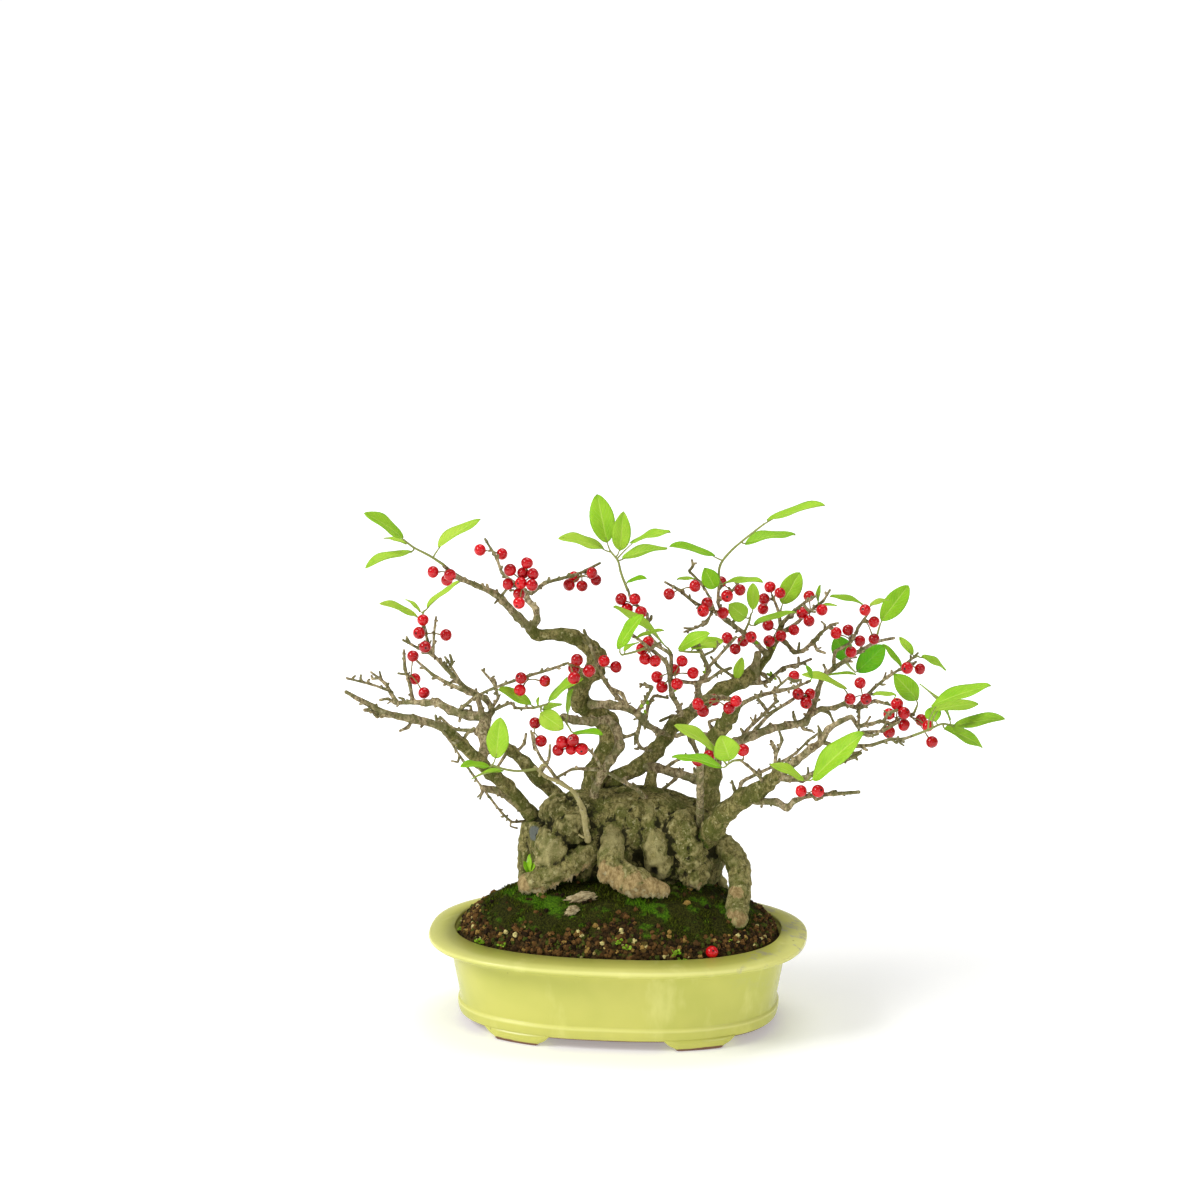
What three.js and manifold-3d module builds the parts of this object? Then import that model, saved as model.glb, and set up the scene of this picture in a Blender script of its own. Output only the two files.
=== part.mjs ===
// Japanese winterberry bonsai in a glazed oval pot, in millimetres, +Z up, with its front towards -Y.
// It is modelled round the middle of the pot's base, and moved at the end to stand on the middle of its box.

import * as THREE from "three";
import { mergeVertices } from "three/addons/utils/BufferGeometryUtils.js";
import Module from "manifold-3d";

const wasm = await Module();
wasm.setup();

// Pot
const RIM_LENGTH = 161;
const RIM_DEPTH = 112;
const POT_HEIGHT = 39;
const FOOT_HEIGHT = 4;
const FLOOR_HEIGHT = 8;
const POT_SIDES = 32;
const POT_SQUARENESS = 2.4;
const POT_OUTSIDE = [
  [13.8, 4],
  [12.7, 4.8],
  [12.2, 6.6],
  [12.0, 9.3],
  [13.2, 10.2],
  [12.5, 15],
  [10.8, 24],
  [9.4, 32],
  [8.0, 34.6],
  [1.0, 36.2],
  [0, 37.4],
  [0.3, 38.6],
  [1.2, 39],
];
const POT_INSIDE = [
  [21, 8],
  [17.2, 10],
  [15.6, 15],
  [13.8, 24],
  [12.6, 32],
  [12.0, 37.8],
  [11.0, 39],
  [11.0, 41],
];
const OPENING_INSET = 12;
const FOOT_MIDDLE = 38.5;
const FOOT_LENGTH = 29;
const FOOT_BEVEL = 5;
const FOOT_SUNK = 1;
const FOOT_RING = [
  [12.8, 0.8],
  [12.4, FOOT_HEIGHT + FOOT_SUNK],
  [24, FOOT_HEIGHT + FOOT_SUNK],
  [24, 0],
  [13.6, 0],
  [12.8, 0.8],
];
const FOOT_CURVE = [
  [FOOT_BEVEL, -0.5],
  [FOOT_BEVEL, 1],
  [FOOT_BEVEL / 2, 2.4],
  [0, FOOT_HEIGHT + FOOT_SUNK + 0.5],
];
const DRAIN_OFFSET = 30;
const DRAIN_RADIUS = 6;
const DRAIN_SIDES = 16;

// Soil
const SOIL_EDGE = 38;
const MOUND_HEIGHT = 24;
const MOUND_ROUNDNESS = 2.6;
const MOUND_SHOULDER = 0.8;
const SOIL_RINGS = [1, 0.92, 0.8, 0.64, 0.42];
const MOUND_LUMPS = [0.7, 0.4];
const NET_SIZE = 15;
const NET_HOLES = 3;
const NET_THREAD = 0.9;
const FALLEN_BERRY = [712, 952];
const FALLEN_REST = 1.25;
const FLAKE_LOBES = [[581, 898, [6.2, 3, 2.0], -0.3], [572, 911, [2.9, 2.6, 1.7], -0.8]];
const FLAKE_REST = 0.6;
const FLAKE_TILT = -0.5;
const HOLE_BOTTOM = 45;
const HOLE_TOP = 91;
const HOLE_LENGTH = 60;
const HOLE_DEPTH = 26;
const HOLE_SIDES = 24;

// Trunk and limbs
const TRUNK_CENTRE = new THREE.Vector3(1.9, 10.3, 71);
const TRUNK_HALF = new THREE.Vector3(43, 18, 28);
const TRUNK_BOXINESS = 2.35;
const TRUNK_DETAIL = 6;
const TRUNK_RIPPLE = 0.6;
const TRUNK_FOOT_TOP = 67;
const SOIL_CLEARANCE = 0.45;
const LIMB_LEAST_RADIUS = 0.5;
const LIMB_KNOTS = [0.94, 1.1];

// Leaves and berries
const LEAF_THICKNESS = 0.6;
const LEAF_SLIMNESS = 0.42;
const LEAF_STATIONS = [0.17, 0.5, 0.83];
const LEAF_FOLD = 0.2;
const LEAF_SPRING = 0.4;
const LEAF_ARCHES = [0.12, 0.17, 0.22];
const SHOOT_RADII = [0.6, 0.45];
const PETIOLE_RADII = [0.45, 0.35];
const PETIOLE_REACH = 0.12;
const PETIOLE_ROOM = 0.55;
const DARK_SPRAYS = ["leaves_right_dark"];
const BERRY_RADIUS = 2.6;
const STALK_RADIUS = 0.42;
const HUB_RADIUS = 0.8;
// Faceted berries reach a little past their round size, so that they look as large.
const FACET_REACH = 1.09;
const FACET_REACH_FINE = 1.04;

// Room between pieces, and the trials that find a clear place for each berry.
const GAP = 0.3;
const CUT_GAP = 0.5;
const BERRY_ROOM = 0.5;
const BERRY_TOUCH = 0.3;
const STALK_ROOM = 0.35;
const HUB_ROOM = 0.74;
const HUB_AWAY = 1.14;
const HUB_LEAN = 1.5;
const FINE_RADIUS = 1.7;
const DEPTH_TRIAL = 0.8;
const DEPTH_TRIALS = 24;
const TWIG_TRIALS = 12;
const FIRST_SEED = 11;
const STALK_TESTS = [0, 0.06, 0.12, 0.2, 0.3, 0.4, 0.5, 0.6, 0.7, 0.8, 0.88];
const HUB_WAYS = [
  [0, -1, 0.3], [0, 0, 1], [0, 0, -1], [1, 0, 0], [-1, 0, 0], [0, 1, 0],
  [1, 0, 1], [-1, 0, 1], [1, -1, 0], [-1, -1, 0], [1, 0, -1], [-1, 0, -1],
].map((way) => new THREE.Vector3(...way));

// Edges shorter than these are closed up, where no face would turn further than the least agreement allows.
const SHORTEST = 0.8;
const SHORTEST_FINE = 0.3;
const LEAST_AGREEMENT = 0.3;

// The plant is drawn as it is seen from the front, a little from above and from the right: across and down in
// picture steps, and how far the point lies behind the sight point, in millimetres.
const STEP = 0.42;
const SIGHT_ACROSS = 640;
const SIGHT_DOWN = 775;
const SIGHT_POINT = new THREE.Vector3(9.35, 2, 106.7);
const SIGHT_DISTANCE = 1500;
const SIGHT_ANGLE = THREE.MathUtils.degToRad(16);
const SIGHT_TURN = THREE.MathUtils.degToRad(6.5);

// Wood: width at the base and at the tip in steps, then the route.
const ROOTS = [
  // slanting root on the left, with its forked tip
  [20, 23, [608,836,0, 592,850,-9, 568,865,-13, 546,876,-13, 528,883,-8]],
  [13, 7, [546,876,-10, 543,886,-12, 539,899,-13]],
  // boot-shaped root in the middle
  [26, 30, [615,828,-5, 612,845,-13, 611,866,-17, 632,880,-20, 654,887,-21]],
  // heavy root on the right, down to its knob
  [26, 22, [705,838,2, 724,846,-2, 738,866,-7, 740,890,-14, 737,910,-20, 736,924,-24]],
  // burl, round swelling and folds of the trunk's front
  [36, 40, [552,806,2, 564,818,-4, 572,827,-7]],
  [32, 36, [553,834,-5, 551,848,-11, 552,859,-10]],
  [30, 28, [652,832,-5, 656,850,-10, 660,868,-9]],
  [34, 36, [676,816,-1, 688,846,-8, 694,874,-7]],
  [20, 16, [650,802,-1, 649,818,-6, 650,834,-8]],
  [34, 30, [624,806,1, 628,824,-3, 634,842,-4]],
  [20, 20, [532,822,6, 527,848,5, 528,878,5]],
  // roots at the back
  [28, 9, [574,828,16, 568,854,27, 560,872,33, 550,885,36]],
  [30, 10, [634,826,16, 640,854,28, 648,873,33, 658,892,36]],
  [26, 8, [688,832,14, 704,856,22, 718,880,27, 730,906,29]],
];

const LIMBS = [
  // left low branch with its side tip, and the cut stub under it
  [15, 4, [542,824,8, 529,812,2, 507,786,-6, 491,773,-10, 481,763,-12, 462,744,-18, 443,727,-24, 413,719,-30,
    387,714,-34, 373,707,-36, 346,692,-40]],
  [4, 2.5, [387,714,-34, 376,713,-36, 366,710,-38]],
  [9, 7, [534,818,6, 519,806,2, 499,791,-2, 483,788,-4]],
  // second left branch, and the upright piece that meets it
  [15, 8, [566,812,12, 557,796,12, 538,778,12, 524,762,11, 512,751,9, 498,739,6, 484,730,3]],
  [10, 9, [481,763,-12, 485,744,-5, 481,731,1, 486,718,5]],
  // left pad
  [11, 4, [483,728,3, 486,718,5, 468,715,9, 450,710,13, 437,702,17, 425,703,19, 413,702,22, 395,703,27]],
  [5, 2.5, [397,703,26, 391,693,30, 386,684,33, 371,672,37]],
  [3, 2.5, [391,691,30, 370,684,28, 346,678,24]],
  [4, 2.5, [413,702,22, 410,685,25, 405,669,28, 404,650,30]],
  [6, 2.5, [484,722,4, 476,694,3, 463,686,1, 447,669,-3, 433,655,-7, 418,648,-11, 403,640,-15]],
  [3, 2.5, [433,655,-7, 434,635,-9, 436,617,-11]],
  [3, 2.5, [431,653,-7, 427,638,-5, 422,624,-2]],
  [7, 2.5, [486,720,5, 492,710,9, 485,698,13, 468,692,17, 449,684,21, 432,674,25, 416,660,29]],
  [3, 2.5, [463,686,1, 457,676,6, 445,657,10]],
  [3.5, 2.5, [457,712,12, 478,695,-4, 502,685,-10, 528,676,-15, 548,670,-19, 568,663,-23]],
  [3.5, 2.5, [490,710,9, 498,698,14, 494,684,19, 482,670,24]],
  [3.5, 2.5, [491,711,9, 511,703,3, 516,708,-1, 533,708,-6]],
  [4, 3, [479,731,1, 454,729,4, 440,717,8]],
  [2.5, 2.5, [437,723,-25, 450,741,-27, 466,765,-25, 481,786,-19, 502,813,-12, 512,822,-6, 530,820,4]],
  // leader, an S from the middle of the trunk to the top left
  [21, 16, [596,808,10, 592,790,10, 596,774,12, 605,755,15, 611,736,18, 608,723,20, 594,712,20, 581,703,18,
    578,693,16, 585,678,13, 594,671,12, 597,657,11, 591,647,11]],
  [14, 3.5, [594,652,11, 583,642,11, 573,637,11, 560,634,11, 537,635,9, 530,628,7, 519,618,3, 502,600,-4,
    495,594,-7, 476,585,-13, 461,579,-18, 444,566,-25]],
  [8, 5, [530,628,7, 537,620,11, 536,609,14, 528,600,18, 525,590,21]],
  [4, 2.5, [525,591,21, 502,573,27, 497,559,30, 485,539,35]],
  [5, 2.5, [525,594,20, 533,592,23, 545,583,27, 571,576,32, 585,571,35, 600,563,38]],
  [3, 2.5, [500,598,-5, 508,588,-9, 524,585,-13]],
  [5, 3, [630,710,4, 617,697,2, 605,681,1, 598,665,2, 589,642,4, 584,630,6]],
  [9, 5, [586,706,19, 592,704,14, 611,705,8, 630,709,4, 639,715,3, 645,723,6, 656,730,12, 668,735,20]],
  [4, 2.5, [637,713,3, 647,697,-4, 652,687,-8, 640,684,-12]],
  [4, 2.5, [645,722,6, 648,706,11, 654,696,15, 668,698,19]],
  [4, 3, [641,717,4, 638,732,7, 622,738,12, 612,738,17]],
  [4, 3, [638,731,7, 637,740,8, 641,748,10, 654,751,16]],
  [8, 8, [592,802,2, 596,787,-1, 602,774,-3, 611,759,-4, 620,746,-3, 616,729,-1, 608,720,1, 592,722,-2,
    575,720,-6, 563,717,-10]],
  // branch to the back right
  [17, 6, [604,800,12, 617,778,13, 637,768,15, 655,751,18, 666,737,21, 675,724,24, 685,716,27, 698,707,31,
    719,691,36, 739,684,41, 756,671,45, 768,656,49, 777,638,53, 782,624,57]],
  [4, 2.5, [781,628,56, 778,610,60, 772,595,64]],
  [5, 3, [742,683,41, 766,682,46, 783,668,50, 800,664,54, 811,659,57]],
  [10, 8, [638,766,15, 656,768,13, 676,773,11, 695,779,9, 712,786,5]],
  [13, 11, [656,802,8, 650,788,11, 652,772,13]],
  // sticks at the front
  [6, 3, [592,842,-4, 586,832,-14, 583,810,-20, 574,792,-24, 561,783,-27, 545,776,-29, 535,767,-31]],
  [3.5, 2.5, [560,783,-27, 551,771,-23, 541,758,-19, 533,741,-16, 531,731,-14]],
  [3, 2.5, [541,772,-29, 549,759,-25, 550,745,-24]],
  [5, 2.5, [650,804,2, 637,789,-8, 617,778,-14, 602,769,-18, 594,755,-21, 586,747,-23]],
  [3.5, 3, [604,770,-17, 573,769,-22, 558,777,-26]],
  [8, 7, [700,836,2, 700,812,-12, 700,790,-22, 700,763,-34]],
  // upright branch on the right, and its fork
  [19, 12, [706,812,8, 710,799,7, 712,774,5, 713,755,2, 715,738,-2, 724,725,-7, 730,716,-11, 735,707,-15]],
  [5, 3, [735,707,-15, 737,701,-19, 722,697,-25, 706,696,-30]],
  [5, 3, [733,712,-13, 745,702,-12, 761,695,-8, 779,691,-3, 796,687,2, 810,681,7]],
  [6, 3, [681,718,26, 679,708,20, 672,695,10, 670,678,0, 666,662,-8, 648,647,-16, 629,632,-24]],
  [4, 2.5, [670,680,1, 671,655,5, 657,645,9, 648,632,13, 647,614,17, 631,600,21, 628,589,23]],
  // pad at the upper right
  [6, 2.5, [768,656,49, 758,645,45, 744,633,41, 726,620,34, 712,610,28, 695,603,22, 679,590,16, 665,582,12]],
  [3, 2.5, [714,611,29, 710,598,34, 700,582,38, 689,571,42]],
  [3, 2.5, [712,612,28, 709,618,24, 698,627,19, 684,632,13]],
  [4, 3, [724,619,33, 718,602,27, 719,586,21]],
  [3, 2.5, [718,601,27, 731,592,31, 742,578,35]],
  [8, 3, [690,713,29, 698,698,25, 698,685,18, 709,671,10, 703,657,3, 698,642,-4]],
  [3, 2.5, [702,652,1, 693,646,-4, 688,641,-6]],
  [4, 2.5, [781,625,56, 795,610,52, 807,601,48, 816,596,45]],
  [4, 2.5, [779,634,54, 798,622,58, 810,611,61, 823,601,64, 830,590,67]],
  [5, 2.5, [778,637,53, 786,643,50, 794,652,47, 803,651,43, 813,641,38, 821,633,34, 831,625,30, 838,623,27]],
  // right low branch at the front
  [20, 13, [690,850,2, 705,838,-6, 713,829,-12, 727,811,-19, 743,798,-25, 757,792,-30, 768,783,-34,
    779,774,-38]],
  [7, 3, [776,777,-37, 802,779,-46, 815,773,-50, 834,765,-54, 853,757,-58, 861,753,-60]],
  [8, 3.5, [748,797,-27, 757,801,-30, 776,802,-36, 787,808,-40, 794,801,-43, 808,796,-46, 834,794,-52,
    859,792,-58]],
  [9, 5, [777,776,-37, 796,761,-41, 812,748,-44, 822,741,-46, 828,729,-47, 840,722,-48]],
  [4, 2.5, [821,742,-46, 840,747,-50, 859,746,-54, 872,745,-57, 891,739,-55, 903,739,-53, 912,736,-51]],
  [4, 2.5, [838,747,-50, 850,737,-46, 863,732,-43, 882,731,-40, 899,722,-36]],
  [5, 2.5, [839,722,-48, 851,717,-43, 858,726,-38, 871,724,-33, 880,721,-30, 889,724,-27, 903,717,-22,
    914,713,-18]],
  [4, 2.5, [736,804,-22, 742,782,-14, 757,774,-10, 776,765,-6, 796,753,-2, 808,741,2, 820,732,6]],
  [4, 2.5, [773,780,-36, 776,755,-28, 782,740,-22, 778,728,-18]],
  [4, 2.5, [764,786,-33, 761,779,-37, 755,772,-41, 747,765,-45, 740,760,-48]],
  // right branch at the back
  [10, 3, [713,757,2, 724,748,6, 736,742,11, 751,736,15, 770,729,20, 789,725,25, 805,722,29, 812,709,33,
    817,694,37, 822,679,41, 834,668,45, 845,661,48, 858,652,51, 876,642,55, 894,638,59]],
  [4, 2.5, [834,668,45, 835,652,40, 851,642,36, 858,628,32, 867,615,28]],
  [4, 2.5, [740,741,12, 748,729,9, 764,714,4, 776,701,-3, 774,691,-8, 788,678,-14]],
  [5, 3, [751,736,15, 757,728,18, 771,713,22, 789,702,27, 799,695,31]],
  [6, 3, [808,716,31, 821,709,30, 834,708,28, 844,704,26, 859,708,22, 875,701,18, 891,705,14]],
  [4, 2.5, [857,707,22, 874,688,27, 889,676,32, 903,667,36, 918,653,41]],
  [3, 3, [859,707,22, 859,718,18, 858,728,14]],
];

// Leafy shoots: the shoot's route, then each leaf's base and tip and its width as seen.
const SPRAYS = [
  ["leaves_top_left", [444,565,-25.5, 430,556,-31, 413,547,-38, 404,540,-42],
    [[403,538,-43, 367,511,-52, 12], [406,544,-41, 384,535,-33, 5], [412,552,-38, 365,561,-50, 9],
      [438,547,-28, 479,516,-16, 13]]],
  ["leaves_left_pair", [422,624,-2, 422,617,0, 424,611,2],
    [[427,608,2, 460,578,10, 7], [417,617,0, 382,600,-8, 7], [420,612,3, 407,597,8, 4]]],
  ["leaves_left_hanging", [536,769,-31, 518,771,-36, 504,769,-40, 492,765,-42],
    [[496,758,-43, 500,719,-48, 22], [490,767,-42, 462,763,-52, 6], [503,771,-41, 470,774,-33, 4]]],
  ["leaves_centre_left", [533,708,-6, 541,706,-10, 547,704,-14],
    [[531,704,-8, 500,688,-18, 11], [540,713,-12, 562,728,-20, 20], [549,701,-15, 577,675,-26, 9],
      [543,710,-9, 562,702,-1, 7]]],
  ["leaves_centre_curl", [566,719,-9, 566,722,-14, 570,729,-19],
    [[573,733,-20, 602,732,-30, 6], [568,714,-14, 570,689,-18, 5]]],
  ["leaves_top_middle", [628,591,23, 621,573,26, 618,561,28, 611,552,31],
    [[607,543,32, 597,494,36, 25], [604,549,33, 561,534,24, 12], [620,551,28, 623,514,22, 19],
      [630,543,26, 669,529,16, 8], [622,559,30, 667,543,40, 12], [627,582,22, 645,576,16, 5]]],
  ["leaves_middle", [648,647,-16, 634,652,-19, 622,655,-21],
    [[618,649,-22, 640,614,-28, 13], [624,651,-20, 638,640,-12, 5]]],
  ["leaves_middle_long", [671,653,5, 668,648,1],
    [[664,644,0, 617,603,-10, 7]]],
  ["leaves_top_right", [719,587,21, 720,566,15, 730,552,9, 746,538,2, 764,524,-5],
    [[715,556,13, 671,543,4, 9], [715,588,17, 705,569,12, 18], [745,544,4, 795,528,14, 12],
      [767,521,-6, 823,501,-16, 9], [724,583,21, 762,578,12, 6]]],
  ["leaves_pad_right", [744,633,41, 749,622,38, 751,614,36],
    [[746,618,36, 730,605,28, 19], [753,610,36, 753,582,42, 13], [754,626,38, 795,607,46, 8]]],
  ["leaves_pad_far", [780,616,58, 781,609,61],
    [[782,604,62, 800,572,66, 22]]],
  ["leaves_pad_low", [701,652,0, 690,652,-6, 680,651,-11],
    [[678,649,-12, 708,632,-20, 13], [691,648,-4, 724,638,6, 14]]],
  ["leaves_right_tall", [876,642,55, 878,632,56, 880,625,57],
    [[881,621,57, 909,585,62, 22]]],
  ["leaves_right_small", [867,615,28, 867,608,26],
    [[863,604,24, 831,594,18, 6], [870,606,27, 889,597,34, 6]]],
  ["leaves_right_dark", [845,661,48, 850,667,54, 854,671,60],
    [[857,672,62, 885,645,70, 24], [848,662,60, 836,636,66, 22]]],
  ["leaves_right_upper", [903,667,37, 910,660,40, 918,656,42],
    [[901,667,40, 884,643,44, 7], [913,655,43, 900,636,47, 9], [921,657,42, 949,667,48, 9]]],
  ["leaves_right_single", [914,713,-18, 917,706,-18],
    [[918,700,-18, 895,675,-26, 20]]],
  ["leaves_right_tip", [912,736,-51, 928,730,-47, 942,724,-42, 951,725,-40],
    [[931,706,-52, 989,682,-58, 12], [933,711,-47, 979,700,-38, 13], [936,722,-42, 930,706,-36, 16],
      [954,726,-39, 1004,716,-46, 12], [944,729,-43, 986,744,-34, 14], [951,720,-40, 925,680,-30, 4]]],
  ["leaves_right_inner", [844,704,26, 847,695,23],
    [[847,689,22, 804,671,14, 8]]],
  ["leaves_right_low", [811,776,-50, 808,780,-53],
    [[812,780,-55, 861,731,-62, 20], [804,780,-54, 773,762,-60, 9]]],
  ["leaves_front", [740,760,-48, 733,761,-52, 727,765,-55],
    [[716,750,-58, 677,723,-66, 11], [730,760,-57, 722,738,-62, 26], [722,768,-55, 673,751,-48, 10]]],
];

// Berries as seen, by the bunch.
const BUNCHES = [
  [[433,572], [447,580], [450,575]],
  [[480,550], [502,554]],
  [[527,563], [523,573], [510,570], [533,574], [508,584], [532,585], [519,594], [519,603], [521,583]],
  [[569,585], [574,577], [582,586], [592,573], [596,580]],
  [[423,620], [419,633], [446,635], [425,647]],
  [[413,656], [415,679], [424,693]],
  [[521,678], [545,681], [520,690]],
  [[577,660], [574,668], [589,671], [574,678]],
  [[535,723], [541,741]],
  [[558,750], [562,742], [573,740], [571,749], [582,749]],
  [[604,661], [616,667]],
  [[621,599], [635,599], [627,609], [641,612]],
  [[648,642], [642,649], [645,659], [655,661]],
  [[657,677], [662,687], [674,670], [682,661], [677,684], [693,673]],
  [[698,704], [714,700], [703,711], [729,708], [736,701]],
  [[698,760], [709,756]],
  [[743,750]],
  [[669,594], [695,586]],
  [[707,603], [703,611], [723,613]],
  [[721,582], [727,596], [740,590]],
  [[727,638], [743,641], [735,649], [751,637]],
  [[770,587], [780,593], [764,599], [763,609]],
  [[809,596], [802,613], [809,621], [822,610]],
  [[794,630], [768,625], [769,641], [781,636]],
  [[836,633], [848,630], [851,652], [860,641]],
  [[865,610], [874,622], [874,639]],
  [[794,676], [798,694], [810,694], [806,703]],
  [[907,668], [920,669]],
  [[860,683], [850,699], [866,699]],
  [[897,704], [889,714], [904,713], [904,725], [889,732]],
  [[921,720], [928,726], [932,742]],
  [[801,791], [818,791]],
];

// Swellings and hollows of the trunk: across, down, back, reach and height.
const TRUNK_LUMPS = [
  [550,847,-8, 8, 5], [655,842,-10, 6, 3], [690,862,-10, 8, 3], [640,806,-6, 9, 2], [574,800,0, 8, 3],
  [536,826,2, 6, 3], [668,806,0, 8, 2], [712,826,0, 7, 2], [717,884,-8, 5, -4], [594,880,-10, 5, -6],
  [640,858,-12, 4, -4], [654,872,-12, 4, -3], [572,872,-8, 5, -4], [600,812,-10, 6, -2], [680,792,4, 6, -3],
  [620,830,28, 9, 3], [560,820,24, 8, 3], [690,820,26, 8, 3], [590,850,30, 6, -4], [665,850,30, 6, -4],
];

const POT_COLOUR = 0xd9db6a;
const SOIL_COLOUR = 0x3b3a1c;
const WOOD_COLOUR = 0x7d7258;
const LEAF_COLOUR = 0x8fc93a;
const DARK_LEAF_COLOUR = 0x5aa52c;
const BERRY_COLOUR = 0xc8141e;
const FLAKE_COLOUR = 0xb9a67c;
const NET_COLOUR = 0x4a4d48;

const UPRIGHT = new THREE.Vector3(0, 0, 1);

// A repeatable stream of numbers between 0 and 1.
function numbers(seed) {
  let state = seed;
  return () => {
    state = (state * 16807) % 2147483647;
    return state / 2147483647;
  };
}

// The point seen at (across, down) that lies `back` behind the sight point.
function seen(across, down, back) {
  const forward = new THREE.Vector3(0, Math.cos(SIGHT_ANGLE), -Math.sin(SIGHT_ANGLE));
  const upward = new THREE.Vector3(0, Math.sin(SIGHT_ANGLE), Math.cos(SIGHT_ANGLE));
  const eye = SIGHT_POINT.clone().addScaledVector(forward, -SIGHT_DISTANCE);
  const ray = forward.multiplyScalar(SIGHT_DISTANCE);
  ray.x = (across - SIGHT_ACROSS) * STEP;
  ray.addScaledVector(upward, (SIGHT_DOWN - down) * STEP);
  eye.addScaledVector(ray, (SIGHT_POINT.y + back - eye.y) / ray.y);
  return eye.applyAxisAngle(UPRIGHT, SIGHT_TURN);
}

function behind(point) {
  return point.clone().applyAxisAngle(UPRIGHT, -SIGHT_TURN).y - SIGHT_POINT.y;
}

function seenRoute(list) {
  const route = [];
  for (let i = 0; i < list.length; i += 3) {
    route.push(seen(list[i], list[i + 1], list[i + 2]));
  }
  return route;
}

// Solids from geometries, and back.
function solid(geometry) {
  const bare = geometry.clone();
  bare.deleteAttribute("normal");
  bare.deleteAttribute("uv");
  const merged = mergeVertices(bare, 1e-4);
  const corners = merged.index.array;
  const triVerts = [];
  for (let i = 0; i < corners.length; i += 3) {
    const [a, b, c] = [corners[i], corners[i + 1], corners[i + 2]];
    if (a !== b && b !== c && c !== a) triVerts.push(a, b, c);
  }
  const vertProperties = merged.attributes.position.array;
  const made = new wasm.Manifold(
    new wasm.Mesh({ numProp: 3, vertProperties, triVerts: new Uint32Array(triVerts) }),
  );
  if (made.volume() > 0) return made;
  triVerts.reverse();
  return new wasm.Manifold(
    new wasm.Mesh({ numProp: 3, vertProperties, triVerts: new Uint32Array(triVerts) }),
  );
}

function joined(solids) {
  return solids.reduce((sum, next) => sum.add(next));
}

function largest(body) {
  const pieces = body.decompose();
  pieces.sort((a, b) => b.volume() - a.volume());
  return pieces[0];
}

// Closes up the slivers that joins and cuts leave: edges shorter than `shortest` shrink to a point, where the
// surface stays closed and no face turns over.
function tidied(body, shortest) {
  const { vertProperties, triVerts } = body.getMesh();
  const points = [];
  for (let i = 0; i < vertProperties.length; i += 3) {
    points.push(new THREE.Vector3().fromArray(vertProperties, i));
  }
  const faces = [];
  for (let i = 0; i < triVerts.length; i += 3) {
    faces.push([triVerts[i], triVerts[i + 1], triVerts[i + 2]]);
  }
  const round = points.map(() => new Set());
  faces.forEach((face, f) => face.forEach((v) => round[v].add(f)));
  const neighbours = (v) => {
    const found = new Set();
    for (const f of round[v]) {
      for (const u of faces[f]) if (u !== v) found.add(u);
    }
    return found;
  };
  const normal = (face) => {
    const [a, b, c] = face.map((v) => points[v]);
    return b.clone().sub(a).cross(c.clone().sub(a));
  };
  const edges = [];
  faces.forEach(([a, b, c]) => {
    for (const [u, v] of [[a, b], [b, c], [c, a]]) {
      const length = points[u].distanceTo(points[v]);
      if (u < v && length < shortest) edges.push([length, u, v]);
    }
  });
  edges.sort((a, b) => a[0] - b[0]);
  const gone = new Set();
  const shrink = (keep, drop, place) => {
    const shared = [...round[keep]].filter((f) => round[drop].has(f));
    const around = neighbours(drop);
    const common = [...neighbours(keep)].filter((v) => around.has(v));
    if (shared.length !== 2 || common.length !== 2) return false;
    const before = points[keep];
    const rest = [...round[keep], ...round[drop]].filter((f) => !shared.includes(f));
    const old = rest.map((f) => normal(faces[f]));
    const dropped = points[drop];
    points[keep] = place;
    points[drop] = place;
    const turned = rest.some((f, i) => {
      const now = normal(faces[f]);
      return now.dot(old[i]) < LEAST_AGREEMENT * now.length() * old[i].length() || now.length() < 1e-4;
    });
    if (turned) {
      points[keep] = before;
      points[drop] = dropped;
      return false;
    }
    for (const f of shared) {
      for (const v of faces[f]) round[v].delete(f);
      faces[f] = null;
    }
    for (const f of round[drop]) {
      faces[f] = faces[f].map((v) => (v === drop ? keep : v));
      round[keep].add(f);
    }
    round[drop].clear();
    gone.add(drop);
    return true;
  };
  for (const [, u, v] of edges) {
    if (gone.has(u) || gone.has(v) || points[u].distanceTo(points[v]) >= shortest) continue;
    const middle = points[u].clone().lerp(points[v], 0.5);
    for (const place of [middle, points[u].clone(), points[v].clone()]) {
      if (shrink(u, v, place)) break;
    }
  }
  const kept = faces.filter((face) => face);
  const geometry = new THREE.BufferGeometry();
  geometry.setAttribute("position", new THREE.Float32BufferAttribute(points.flatMap((p) => p.toArray()), 3));
  geometry.setIndex(kept.flat());
  return solid(geometry);
}

// A limb is a turned spindle, bent along its route. `radii` holds a radius for each point of the route.
function limb(route, radii, sides, roll = 0) {
  const last = route.length - 1;
  const profile = [new THREE.Vector2(0, 0)];
  radii.forEach((radius, i) => profile.push(new THREE.Vector2(radius, i / last)));
  profile.push(new THREE.Vector2(0, 1));
  const geometry = new THREE.LatheGeometry(profile, sides, roll);
  const curve = new THREE.CatmullRomCurve3(route);
  const frames = [];
  let across = new THREE.Vector3(0.31, 0.83, 0.47);
  for (let i = 0; i <= last; i++) {
    const along = curve.getTangent(i / last);
    across = across.clone().addScaledVector(along, -across.dot(along)).normalize();
    frames.push({ centre: route[i], across, upright: along.clone().cross(across) });
  }
  const points = geometry.attributes.position;
  for (let i = 0; i < points.count; i++) {
    const frame = frames[Math.round(points.getY(i) * last)];
    const bent = frame.centre
      .clone()
      .addScaledVector(frame.across, points.getX(i))
      .addScaledVector(frame.upright, points.getZ(i));
    points.setXYZ(i, bent.x, bent.y, bent.z);
  }
  return solid(geometry);
}

function taper(count, start, end) {
  return Array.from({ length: count }, (_, i) => start + ((end - start) * i) / (count - 1));
}

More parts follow.
